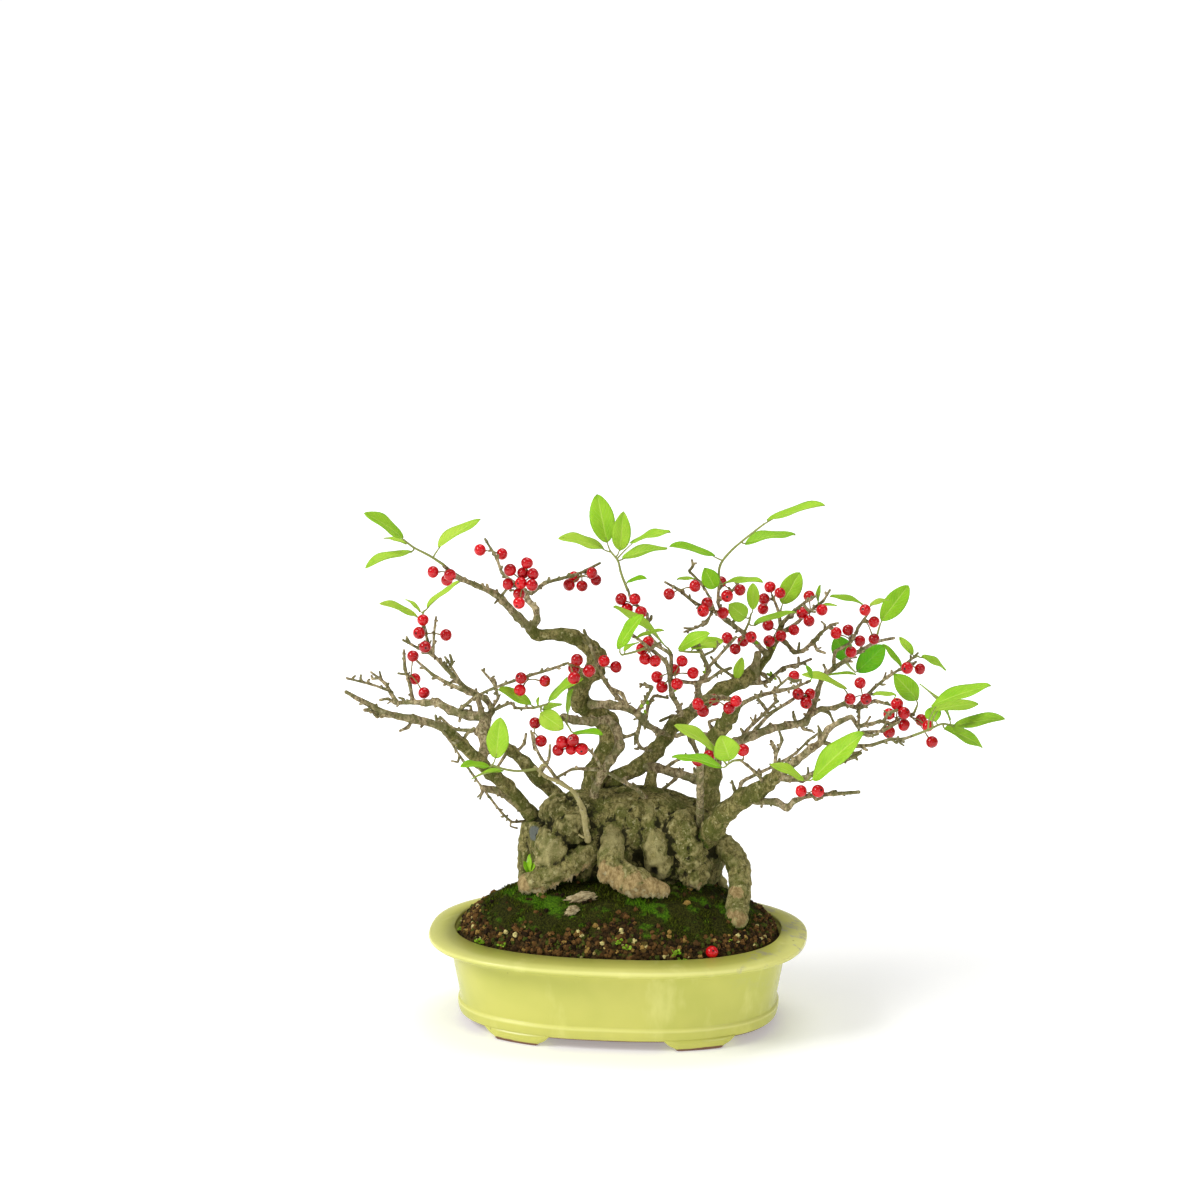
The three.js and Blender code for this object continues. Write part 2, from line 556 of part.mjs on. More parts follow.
// An oval from a round lathe: the wall keeps its thickness all round, and the floor keeps its shape.
function oval(profile, topHeight = null) {
  const points = profile.map(([inset, z]) => new THREE.Vector2(RIM_LENGTH / 2 - inset, z));
  const geometry = new THREE.LatheGeometry(points, POT_SIDES);
  const place = geometry.attributes.position;
  const narrow = (RIM_LENGTH - RIM_DEPTH) / 2;
  for (let i = 0; i < place.count; i++) {
    const radius = Math.hypot(place.getX(i), place.getZ(i));
    const angle = Math.atan2(place.getZ(i), place.getX(i));
    const depth = radius > 2 * narrow ? radius - narrow : radius / 2;
    const c = Math.cos(angle);
    const s = Math.sin(angle);
    const x = radius * Math.sign(c) * Math.abs(c) ** (2 / POT_SQUARENESS);
    const y = depth * Math.sign(s) * Math.abs(s) ** (2 / POT_SQUARENESS);
    const z = place.getY(i);
    place.setXYZ(i, x, y, topHeight && z >= SOIL_EDGE ? topHeight(x, y) : z);
  }
  return solid(geometry);
}

function block(width, depth, height, x, y, z) {
  return solid(new THREE.BoxGeometry(width, depth, height).translate(x, y, z));
}

function makePot() {
  const onAxis = RIM_LENGTH / 2;
  const outside = oval([[onAxis, FOOT_HEIGHT], ...POT_OUTSIDE, [onAxis, POT_HEIGHT]]);
  const inside = oval([[onAxis, FLOOR_HEIGHT], ...POT_INSIDE, [onAxis, POT_HEIGHT + 2]]);
  const ring = oval(FOOT_RING);
  const leftSide = FOOT_CURVE.map(([inset, z]) => new THREE.Vector2(inset - FOOT_LENGTH / 2, z));
  const rightSide = FOOT_CURVE.map(([inset, z]) => new THREE.Vector2(FOOT_LENGTH / 2 - inset, z));
  const footSide = new THREE.Shape([...leftSide.reverse(), ...rightSide]);
  let pot = outside.subtract(inside);
  for (const side of [-1, 1]) {
    const profile = new THREE.ExtrudeGeometry(footSide, { depth: RIM_DEPTH, bevelEnabled: false });
    profile.rotateX(Math.PI / 2).translate(side * FOOT_MIDDLE, RIM_DEPTH / 2, 0);
    pot = pot.add(ring.intersect(solid(profile)));
    const drain = new THREE.CylinderGeometry(DRAIN_RADIUS, DRAIN_RADIUS, 3 * FLOOR_HEIGHT, DRAIN_SIDES);
    drain.rotateX(Math.PI / 2).translate(side * DRAIN_OFFSET, 0, FLOOR_HEIGHT);
    pot = pot.subtract(solid(drain));
  }
  return pot;
}

// Height of the soil at a place: a mound with rounded shoulders, a little uneven.
function moundHeight(x, y) {
  const length = RIM_LENGTH / 2 - OPENING_INSET - GAP;
  const depth = RIM_DEPTH / 2 - OPENING_INSET - GAP;
  const squared = Math.abs(x / length) ** POT_SQUARENESS + Math.abs(y / depth) ** POT_SQUARENESS;
  const out = Math.min(1, squared ** (1 / POT_SQUARENESS));
  const broad = MOUND_LUMPS[0] * Math.sin(0.21 * x + 0.4) * Math.sin(0.27 * y + 1.1);
  const narrow = MOUND_LUMPS[1] * Math.sin(0.43 * x - 0.31 * y);
  const mound = MOUND_HEIGHT * (1 - out ** MOUND_ROUNDNESS) ** MOUND_SHOULDER;
  return SOIL_EDGE + mound + (broad + narrow) * (1 - out);
}

// The soil's body, with its top raised by a margin.
function soilBody(raise) {
  const onAxis = RIM_LENGTH / 2;
  const edge = OPENING_INSET + GAP;
  const walls = POT_INSIDE.filter(([, z]) => z < SOIL_EDGE - 1).map(([inset, z]) => [inset + GAP, z + GAP]);
  const rings = SOIL_RINGS.map((share) => [onAxis - (onAxis - edge) * share, SOIL_EDGE]);
  return oval(
    [[onAxis, FLOOR_HEIGHT + GAP], ...walls, ...rings, [onAxis, SOIL_EDGE]],
    (x, y) => moundHeight(x, y) + raise,
  );
}

// The hidden foot of the trunk, and the plain hole for it in the soil.
function trunkFoot(margin, top) {
  const bottom = HOLE_BOTTOM - margin;
  const post = new THREE.CylinderGeometry(1, 1, top - bottom, HOLE_SIDES).rotateX(Math.PI / 2);
  post.scale(HOLE_LENGTH / 2 + margin, HOLE_DEPTH / 2 + margin, 1).rotateZ(SIGHT_TURN);
  return solid(post.translate(TRUNK_CENTRE.x, TRUNK_CENTRE.y, (top + bottom) / 2));
}

function makeTrunk() {
  const geometry = new THREE.IcosahedronGeometry(1, TRUNK_DETAIL);
  const lumps = TRUNK_LUMPS.map(([across, down, back, reach, height]) => ({
    centre: seen(across, down, back), reach, height,
  }));
  const place = geometry.attributes.position;
  const out = new THREE.Vector3();
  for (let i = 0; i < place.count; i++) {
    out.fromBufferAttribute(place, i).normalize();
    const powers = Math.abs(out.x / TRUNK_HALF.x) ** TRUNK_BOXINESS +
      Math.abs(out.y / TRUNK_HALF.y) ** TRUNK_BOXINESS +
      Math.abs(out.z / TRUNK_HALF.z) ** TRUNK_BOXINESS;
    out.applyAxisAngle(UPRIGHT, SIGHT_TURN);
    const point = out.clone().multiplyScalar(powers ** (-1 / TRUNK_BOXINESS)).add(TRUNK_CENTRE);
    const crossed = Math.sin(0.45 * point.x + 0.3 * point.z) * Math.sin(0.37 * point.z + 0.5 * point.y);
    let swell = TRUNK_RIPPLE * crossed;
    for (const { centre, reach, height } of lumps) {
      swell += height * Math.exp(-point.distanceToSquared(centre) / reach ** 2);
    }
    point.addScaledVector(out, swell);
    place.setXYZ(i, point.x, point.y, point.z);
  }
  return solid(geometry);
}

function sidesFor(width) {
  if (width >= 12) return 7;
  if (width >= 7) return 5;
  return 4;
}

// Radii of a limb, thicker where it leaves its parent and a little knotty.
function limbRadii([start, end, list], margin) {
  const draw = numbers(1 + Math.round(list[0] * 7 + list[1] * 13));
  const count = list.length / 3;
  return taper(count, start, end).map((width, i) => {
    const inner = i > 0 && i < count - 1;
    const knot = inner ? THREE.MathUtils.lerp(...LIMB_KNOTS, draw()) : 1;
    return Math.max(LIMB_LEAST_RADIUS, (width * STEP * knot) / 2) + margin;
  });
}

function makeLimb(row, margin) {
  const roll = row[2][0] % 3;
  return limb(seenRoute(row[2]), limbRadii(row, margin), sidesFor(row[0]), roll);
}

function makeTree() {
  const limbs = [...ROOTS, ...LIMBS].map((row) => makeLimb(row, 0));
  const tree = joined([makeTrunk(), ...limbs]);
  return largest(tree.subtract(soilBody(SOIL_CLEARANCE))).add(trunkFoot(0, TRUNK_FOOT_TOP));
}

// Stretches of limbs, shoots and leaves that berries keep clear of. Thin limbs can bear berries.
const stretches = [];

function addStretches(route, radii, onLimb) {
  for (let i = 0; i + 1 < route.length; i++) {
    const bears = onLimb && radii[i] < FINE_RADIUS && radii[i + 1] < FINE_RADIUS;
    stretches.push({ a: route[i], b: route[i + 1], ra: radii[i], rb: radii[i + 1], onLimb, bears });
  }
}

function nearestOn(stretch, point) {
  const along = stretch.b.clone().sub(stretch.a);
  const share = THREE.MathUtils.clamp(point.clone().sub(stretch.a).dot(along) / along.lengthSq(), 0, 1);
  const place = stretch.a.clone().addScaledVector(along, share);
  return { place, radius: stretch.ra + (stretch.rb - stretch.ra) * share, away: place.distanceTo(point) };
}

// A blade: an oval plate with a folded midrib, arched along its length.
function blade(base, tip, seenWidth, arch) {
  const along = tip.clone().sub(base);
  const length = along.length();
  along.normalize();
  const toEye = new THREE.Vector3(0, -Math.cos(SIGHT_ANGLE), Math.sin(SIGHT_ANGLE));
  toEye.applyAxisAngle(UPRIGHT, SIGHT_TURN);
  const face = toEye.clone().addScaledVector(along, -toEye.dot(along)).normalize();
  const flank = along.clone().cross(face);
  const width = Math.max(seenWidth * STEP, LEAF_SLIMNESS * length);
  const roll = Math.acos(Math.min(1, (seenWidth * STEP) / width));
  const turn = flank.dot(UPRIGHT) < 0 ? -roll : roll;
  const side = flank.clone().multiplyScalar(Math.cos(turn)).addScaledVector(face, -Math.sin(turn));
  const normal = side.clone().cross(along).normalize();
  const put = (t, s, half) => {
    const sag = arch * length * (t * t - t * LEAF_SPRING);
    return base
      .clone()
      .addScaledVector(along, t * length)
      .addScaledVector(side, s)
      .addScaledVector(normal, Math.abs(s) * LEAF_FOLD - sag + half);
  };
  const outline = (t) => (width / 2) * Math.sin(Math.PI * t ** 0.9) ** 0.75;
  const points = [];
  for (const half of [LEAF_THICKNESS / 2, -LEAF_THICKNESS / 2]) {
    points.push(put(0, 0, half));
    for (const t of LEAF_STATIONS) {
      points.push(put(t, -outline(t), half), put(t, 0, half), put(t, outline(t), half));
    }
    points.push(put(1, 0, half));
  }
  const rows = LEAF_STATIONS.length;
  const under = 3 * rows + 2;
  const end = under - 1;
  const top = [[0, 1, 2], [0, 2, 3]];
  const edge = [0];
  for (let i = 0; i + 1 < rows; i++) {
    const n = 1 + 3 * i;
    top.push([n, n + 3, n + 4], [n, n + 4, n + 1], [n + 1, n + 4, n + 2], [n + 2, n + 4, n + 5]);
  }
  const m = 1 + 3 * (rows - 1);
  top.push([m, end, m + 1], [m + 1, end, m + 2]);
  for (let i = 0; i < rows; i++) edge.push(1 + 3 * i);
  edge.push(end);
  for (let i = rows - 1; i >= 0; i--) edge.push(3 + 3 * i);
  const index = [];
  for (const [a, b, c] of top) index.push(a, b, c, a + under, c + under, b + under);
  edge.forEach((a, i) => {
    const b = edge[(i + 1) % edge.length];
    index.push(b, a, a + under, b, a + under, b + under);
  });
  const geometry = new THREE.BufferGeometry();
  geometry.setAttribute("position", new THREE.Float32BufferAttribute(points.flatMap((p) => p.toArray()), 3));
  geometry.setIndex(index);
  const rib = [0, 0.3, 0.7, 1].map((t) => put(t, 0, 0));
  return { body: solid(geometry), rib, halfWidth: width / 2 };
}

function makeSpray([, route, leaves], wood) {
  const shoot = seenRoute(route);
  const radii = taper(shoot.length, ...SHOOT_RADII);
  addStretches(shoot, radii, false);
  const bodies = [limb(shoot, radii, 4)];
  leaves.forEach(([x0, y0, back0, x1, y1, back1, width], i) => {
    const base = seen(x0, y0, back0);
    const tip = seen(x1, y1, back1);
    const { body, rib, halfWidth } = blade(base, tip, width, LEAF_ARCHES[i % LEAF_ARCHES.length]);
    let hold = { away: Infinity };
    for (let k = 0; k + 1 < shoot.length; k++) {
      const found = nearestOn({ a: shoot[k], b: shoot[k + 1], ra: 0, rb: 0 }, base);
      if (found.away < hold.away) hold = found;
    }
    const inner = base.clone().lerp(tip, PETIOLE_REACH);
    bodies.push(body, limb([hold.place, inner], PETIOLE_RADII, 3));
    addStretches(rib, [PETIOLE_ROOM, 0.8 * halfWidth, 0.8 * halfWidth, PETIOLE_ROOM], false);
    addStretches([hold.place, base], [PETIOLE_ROOM, PETIOLE_ROOM], false);
  });
  return largest(joined(bodies).subtract(wood));
}

// Places on fine twigs near a bunch, the nearest first.
function twigsFor(across, down) {
  const found = [];
  for (const stretch of stretches) {
    if (!stretch.bears) continue;
    for (let share = 0; share <= 1; share += 0.25) {
      const point = stretch.a.clone().lerp(stretch.b, share);
      const away = seen(across, down, behind(point)).distanceTo(point);
      found.push({ away, point, radius: THREE.MathUtils.lerp(stretch.ra, stretch.rb, share) });
    }
  }
  return found.sort((a, b) => a.away - b.away).slice(0, TWIG_TRIALS);
}

function clearOfGrowth(point, room) {
  return stretches.every((stretch) => {
    const near = nearestOn(stretch, point);
    return near.away > near.radius + room;
  });
}

function clearOfLeaves(point, room) {
  return stretches.every((stretch) => {
    const near = nearestOn(stretch, point);
    return stretch.onLimb || near.away > near.radius + room;
  });
}

function clearStalk(hub, berry, settled, mine) {
  return STALK_TESTS.every((share) => {
    const along = hub.clone().lerp(berry, share);
    return clearOfGrowth(along, STALK_RADIUS + STALK_ROOM) &&
      mine.every((other) => other.distanceTo(along) > BERRY_RADIUS + STALK_RADIUS) &&
      settled.every((other) => other.distanceTo(along) > BERRY_RADIUS + STALK_RADIUS + GAP);
  });
}

// Each berry keeps its place as seen, and moves along the line of sight until it is clear.
function placedBerries(berries, hub, settled, seed) {
  const draw = numbers(seed);
  const mine = [];
  for (const [across, down] of berries) {
    const first = draw() < 0.5 ? -1 : 1;
    for (let k = 0; k < DEPTH_TRIALS; k++) {
      const back = behind(hub) + first * (k % 2 ? -1 : 1) * Math.ceil(k / 2) * DEPTH_TRIAL;
      const trial = seen(across, down, back);
      const free = clearOfGrowth(trial, BERRY_RADIUS + BERRY_ROOM) &&
        settled.every((other) => other.distanceTo(trial) > 2 * BERRY_RADIUS + BERRY_ROOM) &&
        mine.every((other) => other.distanceTo(trial) > 2 * BERRY_RADIUS - BERRY_TOUCH) &&
        clearStalk(hub, trial, settled, mine);
      if (!free) continue;
      mine.push(trial);
      break;
    }
  }
  return mine;
}

// The hub beside a twig from which most berries of a bunch can hang clear.
function bestHub(berries, settled, seed) {
  const across = berries.reduce((sum, berry) => sum + berry[0], 0) / berries.length;
  const down = berries.reduce((sum, berry) => sum + berry[1], 0) / berries.length;
  let best = { mine: [] };
  for (const twig of twigsFor(across, down)) {
    const towards = seen(across, down, behind(twig.point)).sub(twig.point);
    for (const way of HUB_WAYS) {
      const lean = towards.clone().addScaledVector(way, HUB_LEAN).normalize();
      const hub = twig.point.clone().addScaledVector(lean, twig.radius + HUB_AWAY);
      const middle = hub.clone().lerp(twig.point, 0.5);
      const clear = clearOfGrowth(hub, HUB_ROOM) && clearOfLeaves(middle, HUB_ROOM);
      if (best.mine.length === berries.length || !clear) continue;
      const mine = placedBerries(berries, hub, settled, seed);
      if (mine.length > best.mine.length) best = { mine, hub, held: twig.point };
    }
  }
  return best;
}

function makeBunch(berries, settled, wood, seed) {
  const { mine, hub, held } = bestHub(berries, settled, seed);
  const draw = numbers(seed);
  const knot = new THREE.OctahedronGeometry(HUB_RADIUS, 0).translate(hub.x, hub.y, hub.z);
  const bodies = [solid(knot), limb([hub, held], [STALK_RADIUS, STALK_RADIUS], 3)];
  for (const centre of mine) {
    const inner = centre.clone().add(hub.clone().sub(centre).setLength(BERRY_RADIUS / 2));
    const fruit = new THREE.IcosahedronGeometry(BERRY_RADIUS * FACET_REACH, 0);
    fruit.rotateX(draw() * 3).rotateY(draw() * 3).translate(centre.x, centre.y, centre.z);
    bodies.push(solid(fruit), limb([hub, inner], [STALK_RADIUS, STALK_RADIUS], 3));
  }
  settled.push(...mine);
  return largest(joined(bodies).subtract(wood));
}

// Where the line of sight first comes within `height` of the soil.
function resting(across, down, height) {
  let back = -RIM_DEPTH / 2;
  let point = seen(across, down, back);
  while (point.z - moundHeight(point.x, point.y) > height) {
    back += 0.05;
    point = seen(across, down, back);
  }
  return point;
}

function makeFallenBerry() {
  const centre = resting(...FALLEN_BERRY, BERRY_RADIUS * FALLEN_REST);
  const fruit = new THREE.IcosahedronGeometry(BERRY_RADIUS * FACET_REACH_FINE, 1);
  return solid(fruit.translate(centre.x, centre.y, centre.z)).subtract(soilBody(CUT_GAP));
}

// An old flake of wood in the moss, in two lobes.
function makeFlake() {
  const lobes = FLAKE_LOBES.map(([across, down, half, turn]) => {
    const lobe = new THREE.IcosahedronGeometry(1, 1);
    const centre = resting(across, down, FLAKE_REST);
    lobe.scale(...half).rotateX(FLAKE_TILT).rotateY(turn).translate(centre.x, centre.y, centre.z);
    return solid(lobe);
  });
  return largest(joined(lobes).subtract(soilBody(CUT_GAP)));
}

// A square net over a drain hole, on the pot's floor.
function makeNet(x) {
  const pitch = (NET_SIZE - NET_THREAD) / NET_HOLES;
  const middle = FLOOR_HEIGHT + GAP + NET_THREAD / 2;
  let net = block(NET_SIZE, NET_SIZE, NET_THREAD, x, 0, middle);
  for (let i = 0; i < NET_HOLES; i++) {
    for (let j = 0; j < NET_HOLES; j++) {
      const [u, v] = [i, j].map((k) => (k - (NET_HOLES - 1) / 2) * pitch);
      net = net.subtract(block(pitch - NET_THREAD, pitch - NET_THREAD, 2 * NET_THREAD, x + u, v, middle));
    }
  }
  return net;
}

function makeSoil() {
  let soil = soilBody(0).subtract(trunkFoot(GAP, HOLE_TOP));
  const room = NET_SIZE + 2 * GAP;
  for (const side of [-1, 1]) {
    soil = soil.subtract(block(room, room, 2 * (NET_THREAD + 2 * GAP), side * DRAIN_OFFSET, 0, FLOOR_HEIGHT));
  }
  return soil;
}

function mesh(name, rough, shortest, colour, roughness) {
  const body = tidied(tidied(rough, shortest), shortest);
  const { vertProperties, triVerts } = body.getMesh();
  const geometry = new THREE.BufferGeometry();
  geometry.setAttribute("position", new THREE.Float32BufferAttribute(vertProperties, 3));
  geometry.setIndex(new THREE.Uint32BufferAttribute(triVerts, 1));
  geometry.computeVertexNormals();
  const made = new THREE.Mesh(
    geometry,
    new THREE.MeshStandardMaterial({ color: colour, roughness, metalness: 0 }),
  );
  made.name = name;
  return made;
}

const plant = new THREE.Group();
plant.add(mesh("pot", makePot(), SHORTEST, POT_COLOUR, 0.3));
plant.add(mesh("drain_net_left", makeNet(-DRAIN_OFFSET), SHORTEST_FINE, NET_COLOUR, 0.6));
plant.add(mesh("drain_net_right", makeNet(DRAIN_OFFSET), SHORTEST_FINE, NET_COLOUR, 0.6));
plant.add(mesh("soil", makeSoil(), SHORTEST, SOIL_COLOUR, 0.95));
plant.add(mesh("wood_flake", makeFlake(), SHORTEST_FINE, FLAKE_COLOUR, 0.85));
plant.add(mesh("berry_fallen", makeFallenBerry(), SHORTEST_FINE, BERRY_COLOUR, 0.25));
plant.add(mesh("tree", makeTree(), SHORTEST, WOOD_COLOUR, 0.8));

for (const row of LIMBS) addStretches(seenRoute(row[2]), limbRadii(row, 0), true);
const grownWood = joined(LIMBS.map((row) => makeLimb(row, CUT_GAP)));
for (const spray of SPRAYS) {
  const colour = DARK_SPRAYS.includes(spray[0]) ? DARK_LEAF_COLOUR : LEAF_COLOUR;
  plant.add(mesh(spray[0], makeSpray(spray, grownWood), SHORTEST_FINE, colour, 0.5));
}
const settled = [];
BUNCHES.forEach((berries, i) => {
  const bunch = makeBunch(berries, settled, grownWood, FIRST_SEED + i);
  plant.add(mesh(`berries_${String(i + 1).padStart(2, "0")}`, bunch, SHORTEST_FINE, BERRY_COLOUR, 0.25));
});

const box = new THREE.Box3().setFromObject(plant);
plant.position.set(-(box.min.x + box.max.x) / 2, -(box.min.y + box.max.y) / 2, -box.min.z);

export default plant;
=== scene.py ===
# Japanese winterberry bonsai in a glazed oval pot. The pieces are modelled in millimetres round the middle of the
# pot's base, and made in metres in the frame's place.
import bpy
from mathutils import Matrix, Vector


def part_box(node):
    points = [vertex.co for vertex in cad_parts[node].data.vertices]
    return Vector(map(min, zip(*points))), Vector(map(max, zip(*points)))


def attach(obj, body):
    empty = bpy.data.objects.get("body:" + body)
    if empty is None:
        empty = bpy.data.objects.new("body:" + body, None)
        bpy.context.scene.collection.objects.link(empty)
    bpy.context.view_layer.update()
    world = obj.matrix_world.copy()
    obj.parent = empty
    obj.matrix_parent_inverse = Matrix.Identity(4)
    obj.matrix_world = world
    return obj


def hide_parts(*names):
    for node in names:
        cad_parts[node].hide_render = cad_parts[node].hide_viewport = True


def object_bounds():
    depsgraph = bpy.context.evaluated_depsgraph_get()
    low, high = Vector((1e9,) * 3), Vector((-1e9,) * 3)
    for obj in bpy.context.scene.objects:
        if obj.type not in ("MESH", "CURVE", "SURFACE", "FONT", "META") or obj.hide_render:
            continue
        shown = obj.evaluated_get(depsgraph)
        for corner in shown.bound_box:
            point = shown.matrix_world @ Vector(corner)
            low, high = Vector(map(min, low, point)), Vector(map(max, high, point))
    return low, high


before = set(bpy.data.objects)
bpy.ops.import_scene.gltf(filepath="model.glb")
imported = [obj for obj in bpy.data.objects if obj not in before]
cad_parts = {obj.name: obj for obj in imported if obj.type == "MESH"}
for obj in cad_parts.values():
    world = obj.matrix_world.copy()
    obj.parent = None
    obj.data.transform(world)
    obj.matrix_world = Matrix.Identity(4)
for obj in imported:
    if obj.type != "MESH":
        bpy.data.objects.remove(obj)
start_bounds = [list(corner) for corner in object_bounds()]

import math

import bmesh
import bpy
import numpy as np
from mathutils import Matrix, Vector, noise

# How the plant is seen from the front: across and down in picture steps, and depth behind the sight point in mm.
STEP = 0.42
SIGHT_ACROSS = 640
SIGHT_DOWN = 775
SIGHT_POINT = np.array([9.35, 2.0, 106.7])
SIGHT_DISTANCE = 1500
SIGHT_ANGLE = math.radians(16)
SIGHT_TURN = math.radians(6.5)

# Studio: lamps by place, size and power in metres and watts; the camera's picture, sensor and clipping.
LAMPS = [["key", (-1.5, -1.0, 1.5), 0.85, 31], ["fill", (1.5, -1.2, 0.9), 0.8, 6.5],
         ["front", (0.0, -2.2, 0.9), 1.2, 4], ["top", (0.1, 0.3, 1.8), 0.9, 12]]
LAMPS_AIM = (0, 0, 0.1)
WORLD_STRENGTH = 0.3
FLOOR_SIZE = 40
PICTURE = 1200
SENSOR = 36
CLIPPING = (0.05, 50)

# Pot and soil: sizes in mm and the number of steps round and along them.
MILLIMETRE = 0.001
RIM_LENGTH, RIM_DEPTH = 161, 112
POT_SQUARENESS = 2.4
POT_ANGLES = 240
# Painted highlights along the lip's crest and the low ridge near the base, as height and reach, and how far in from
# the rim the lip and the outer wall go.
LIP_HIGHLIGHT, BAND_HIGHLIGHT = (38.4, 1.0), (9.4, 0.8)
LIP_INSET, WALL_INSET = 3, 14
# Bare clay lies below these heights outside and inside, and on the feet from the first down over the second.
BARE_HEIGHT, BARE_INSIDE = 4.6, 10
BARE_FOOT, BARE_FOOT_REACH = 0.5, 1.1
# The glaze is worn at the right, more so above a height than below it.
WEAR_FROM, WEAR_REACH, WEAR_HEIGHT, WEAR_BELOW = 40, 30, 35, 0.15
POT_WOBBLE = 0.35
FOOT_HEIGHT, FOOT_LENGTH, FOOT_MIDDLE, FOOT_STEPS = 4, 29, 38.5, 61
FLOOR_HEIGHT = 8
PLATE_RINGS = 26
DRAIN_OFFSET, DRAIN_RADIUS, DRAIN_SIDES = 30, 6, 48
DRAIN_REACH, DRAIN_MARGIN = 1.3, 0.2
OPENING_INSET = 12
GAP = 0.3
SOIL_EDGE, MOUND_HEIGHT = 38, 24
MOUND_ROUNDNESS, MOUND_SHOULDER = 2.6, 0.8
SOIL_FRINGE = 0.06
GRAIN_COUNT, GRAIN_REACH, GRAIN_LUMPS = 1700, 0.975, 0.36
LARGE_GRAINS, GRAINS_IN_MOSS = 0.15, 0.015
MOSS_TRIES, MOSS_REACH = 42000, 0.96

# Trunk and limbs. Limbs of STOUT steps or more at their base have their feet in the trunk's skin.
TRUNK_CENTRE = np.array([1.9, 10.3, 71.0])
TRUNK_HALF = np.array([43.0, 18.0, 28.0])
TRUNK_BOXINESS = 2.35
TRUNK_MESH = 0.58
# Rounds of evening-out for the hollowness that places the painted shade in crevices and the painted highlights on
# folds.
BROAD_ROUNDS, FINE_ROUNDS = 90, 8
WIDEST, STOUT, MIDDLING = 99, 12, 6
LIMB_PACE, LIMB_EASE, LIMB_KNOTS = 0.9, 0.45, 0.22
THIN_LIMB, THIN_TWIG = 0.5, 0.42
STUBBY_SPURS = 0.75
DRAW_LIMIT = 2**31 - 1
START_SIDE = np.array([0.31, 0.83, 0.47])
# How far before and behind the sight point a line of sight is searched for wood and berries, and for the soil.
DEPTHS = (-90, 90)
SOIL_DEPTHS = (-60, 60)

# Leaves and berries
LEAF_SLIMNESS, LEAF_FOLD, LEAF_SPRING = 0.42, 0.2, 0.4
LEAF_SHOULDER, LEAF_FULLNESS = 0.95, 0.64
LEAF_TEETH, LEAF_WAVE, LEAF_RIB = 0.014, 0.05, 0.16
LEAF_ARCHES = [0.12, 0.17, 0.22]
SMALL_LEAF, BUD_LEAF = (15, 7), (9, 5)
DARK_SPRAY = "leaves_right_dark"
WEED_LEAVES = 9
BERRY_RADIUS = 2.6
# The CAD berry's corners lie this far from its centre, and those of its stalk further than the second number.
BERRY_REACH, BERRY_CLEAR = 2.834, 3.1

GRAIN_SEED, MOSS_SEED, TWIG_SEED, WEED_SEED, BERRY_SEED, FALLEN_SEED = 7, 11, 41, 23, 100, 5

# Profiles of the pot and the soil: inset from the rim's outer edge, and height.
POT_OUTSIDE = [[13.8, 4], [12.7, 4.8], [12.2, 6.6], [12.0, 9.3], [13.2, 10.2], [12.5, 15], [10.8, 24], [9.4, 32],
               [8.0, 34.6], [1.0, 36.2], [0, 37.4], [0.3, 38.6], [1.2, 39]]
POT_INSIDE = [[21, 8], [17.2, 10], [15.6, 15], [13.8, 24], [12.6, 32], [12.0, 37.8], [11.0, 39], [11.0, 41]]
SOIL_WALL = [[12.3, 37.6], [12.9, 32.3], [14.1, 24.3], [15.9, 15.3], [17.5, 10.3], [21.3, 8.3]]
# The foot's cross-section as inset and share of its height, and how its underside rises towards its ends.
FOOT_SECTION = [[13.6, 0], [13.0, 0.14], [12.6, 0.5], [12.5, 1], [23.5, 1], [23.8, 0.4], [23.6, 0]]
FOOT_RISE_AT = [0, 0.6, 0.64, 0.7, 0.78, 0.86, 0.93, 1.0]
FOOT_RISE = [0, 0, 0.3, 1.2, 1.7, 2.4, 3.4, 4.6]
# The berry and the flake on the soil: across and down, then the lobes' half sizes and turn.
FALLEN_BERRY = [712, 952]
FLAKE_LOBES = [[581, 898, [6.2, 3, 2.0], -0.3], [572, 911, [2.9, 2.6, 1.7], -0.8]]

# Wood: width at the base and at the tip in steps, then the route as across, down and back of each point.
ROOTS = [
  # slanting root on the left, with its forked tip
  [20, 23, [608,836,0, 592,850,-9, 568,865,-13, 546,876,-13, 528,883,-8]],
  [13, 7, [546,876,-10, 543,886,-12, 539,899,-13]],
  # boot-shaped root in the middle
  [23, 29, [615,828,-5, 612,845,-13, 611,864,-17, 628,879,-20, 640,883,-20]],
  [28, 15, [630,880,-19, 648,886,-21, 663,889,-21]],
  [17, 15, [611,860,-16, 606,871,-18, 605,877,-18]],
  # heavy root on the right, down to its knob
  [26, 22, [705,838,2, 724,846,-2, 738,866,-7, 740,890,-14, 737,910,-20, 736,924,-24]],
  # burl, round swelling and folds of the trunk's front
  [36, 40, [552,806,2, 564,818,-4, 572,827,-7]],
  [32, 36, [553,834,-5, 551,848,-11, 552,859,-10]],
  [30, 28, [652,832,-5, 656,850,-10, 660,868,-9]],
  [34, 36, [676,816,-1, 688,846,-8, 694,874,-7]],
  [24, 24, [664,818,0, 671,846,-5, 676,872,-5]],
  [20, 16, [650,802,-1, 649,818,-6, 650,834,-8]],
  [34, 30, [624,806,1, 628,824,-3, 634,842,-4]],
  [20, 20, [532,822,6, 527,848,5, 528,878,5]],
  # roots at the back
  [28, 9, [574,828,16, 568,854,27, 560,872,33, 550,885,36]],
  [30, 10, [634,826,16, 640,854,28, 648,873,33, 658,892,36]],
  [26, 8, [688,832,14, 704,856,22, 718,880,27, 730,906,29]],
]
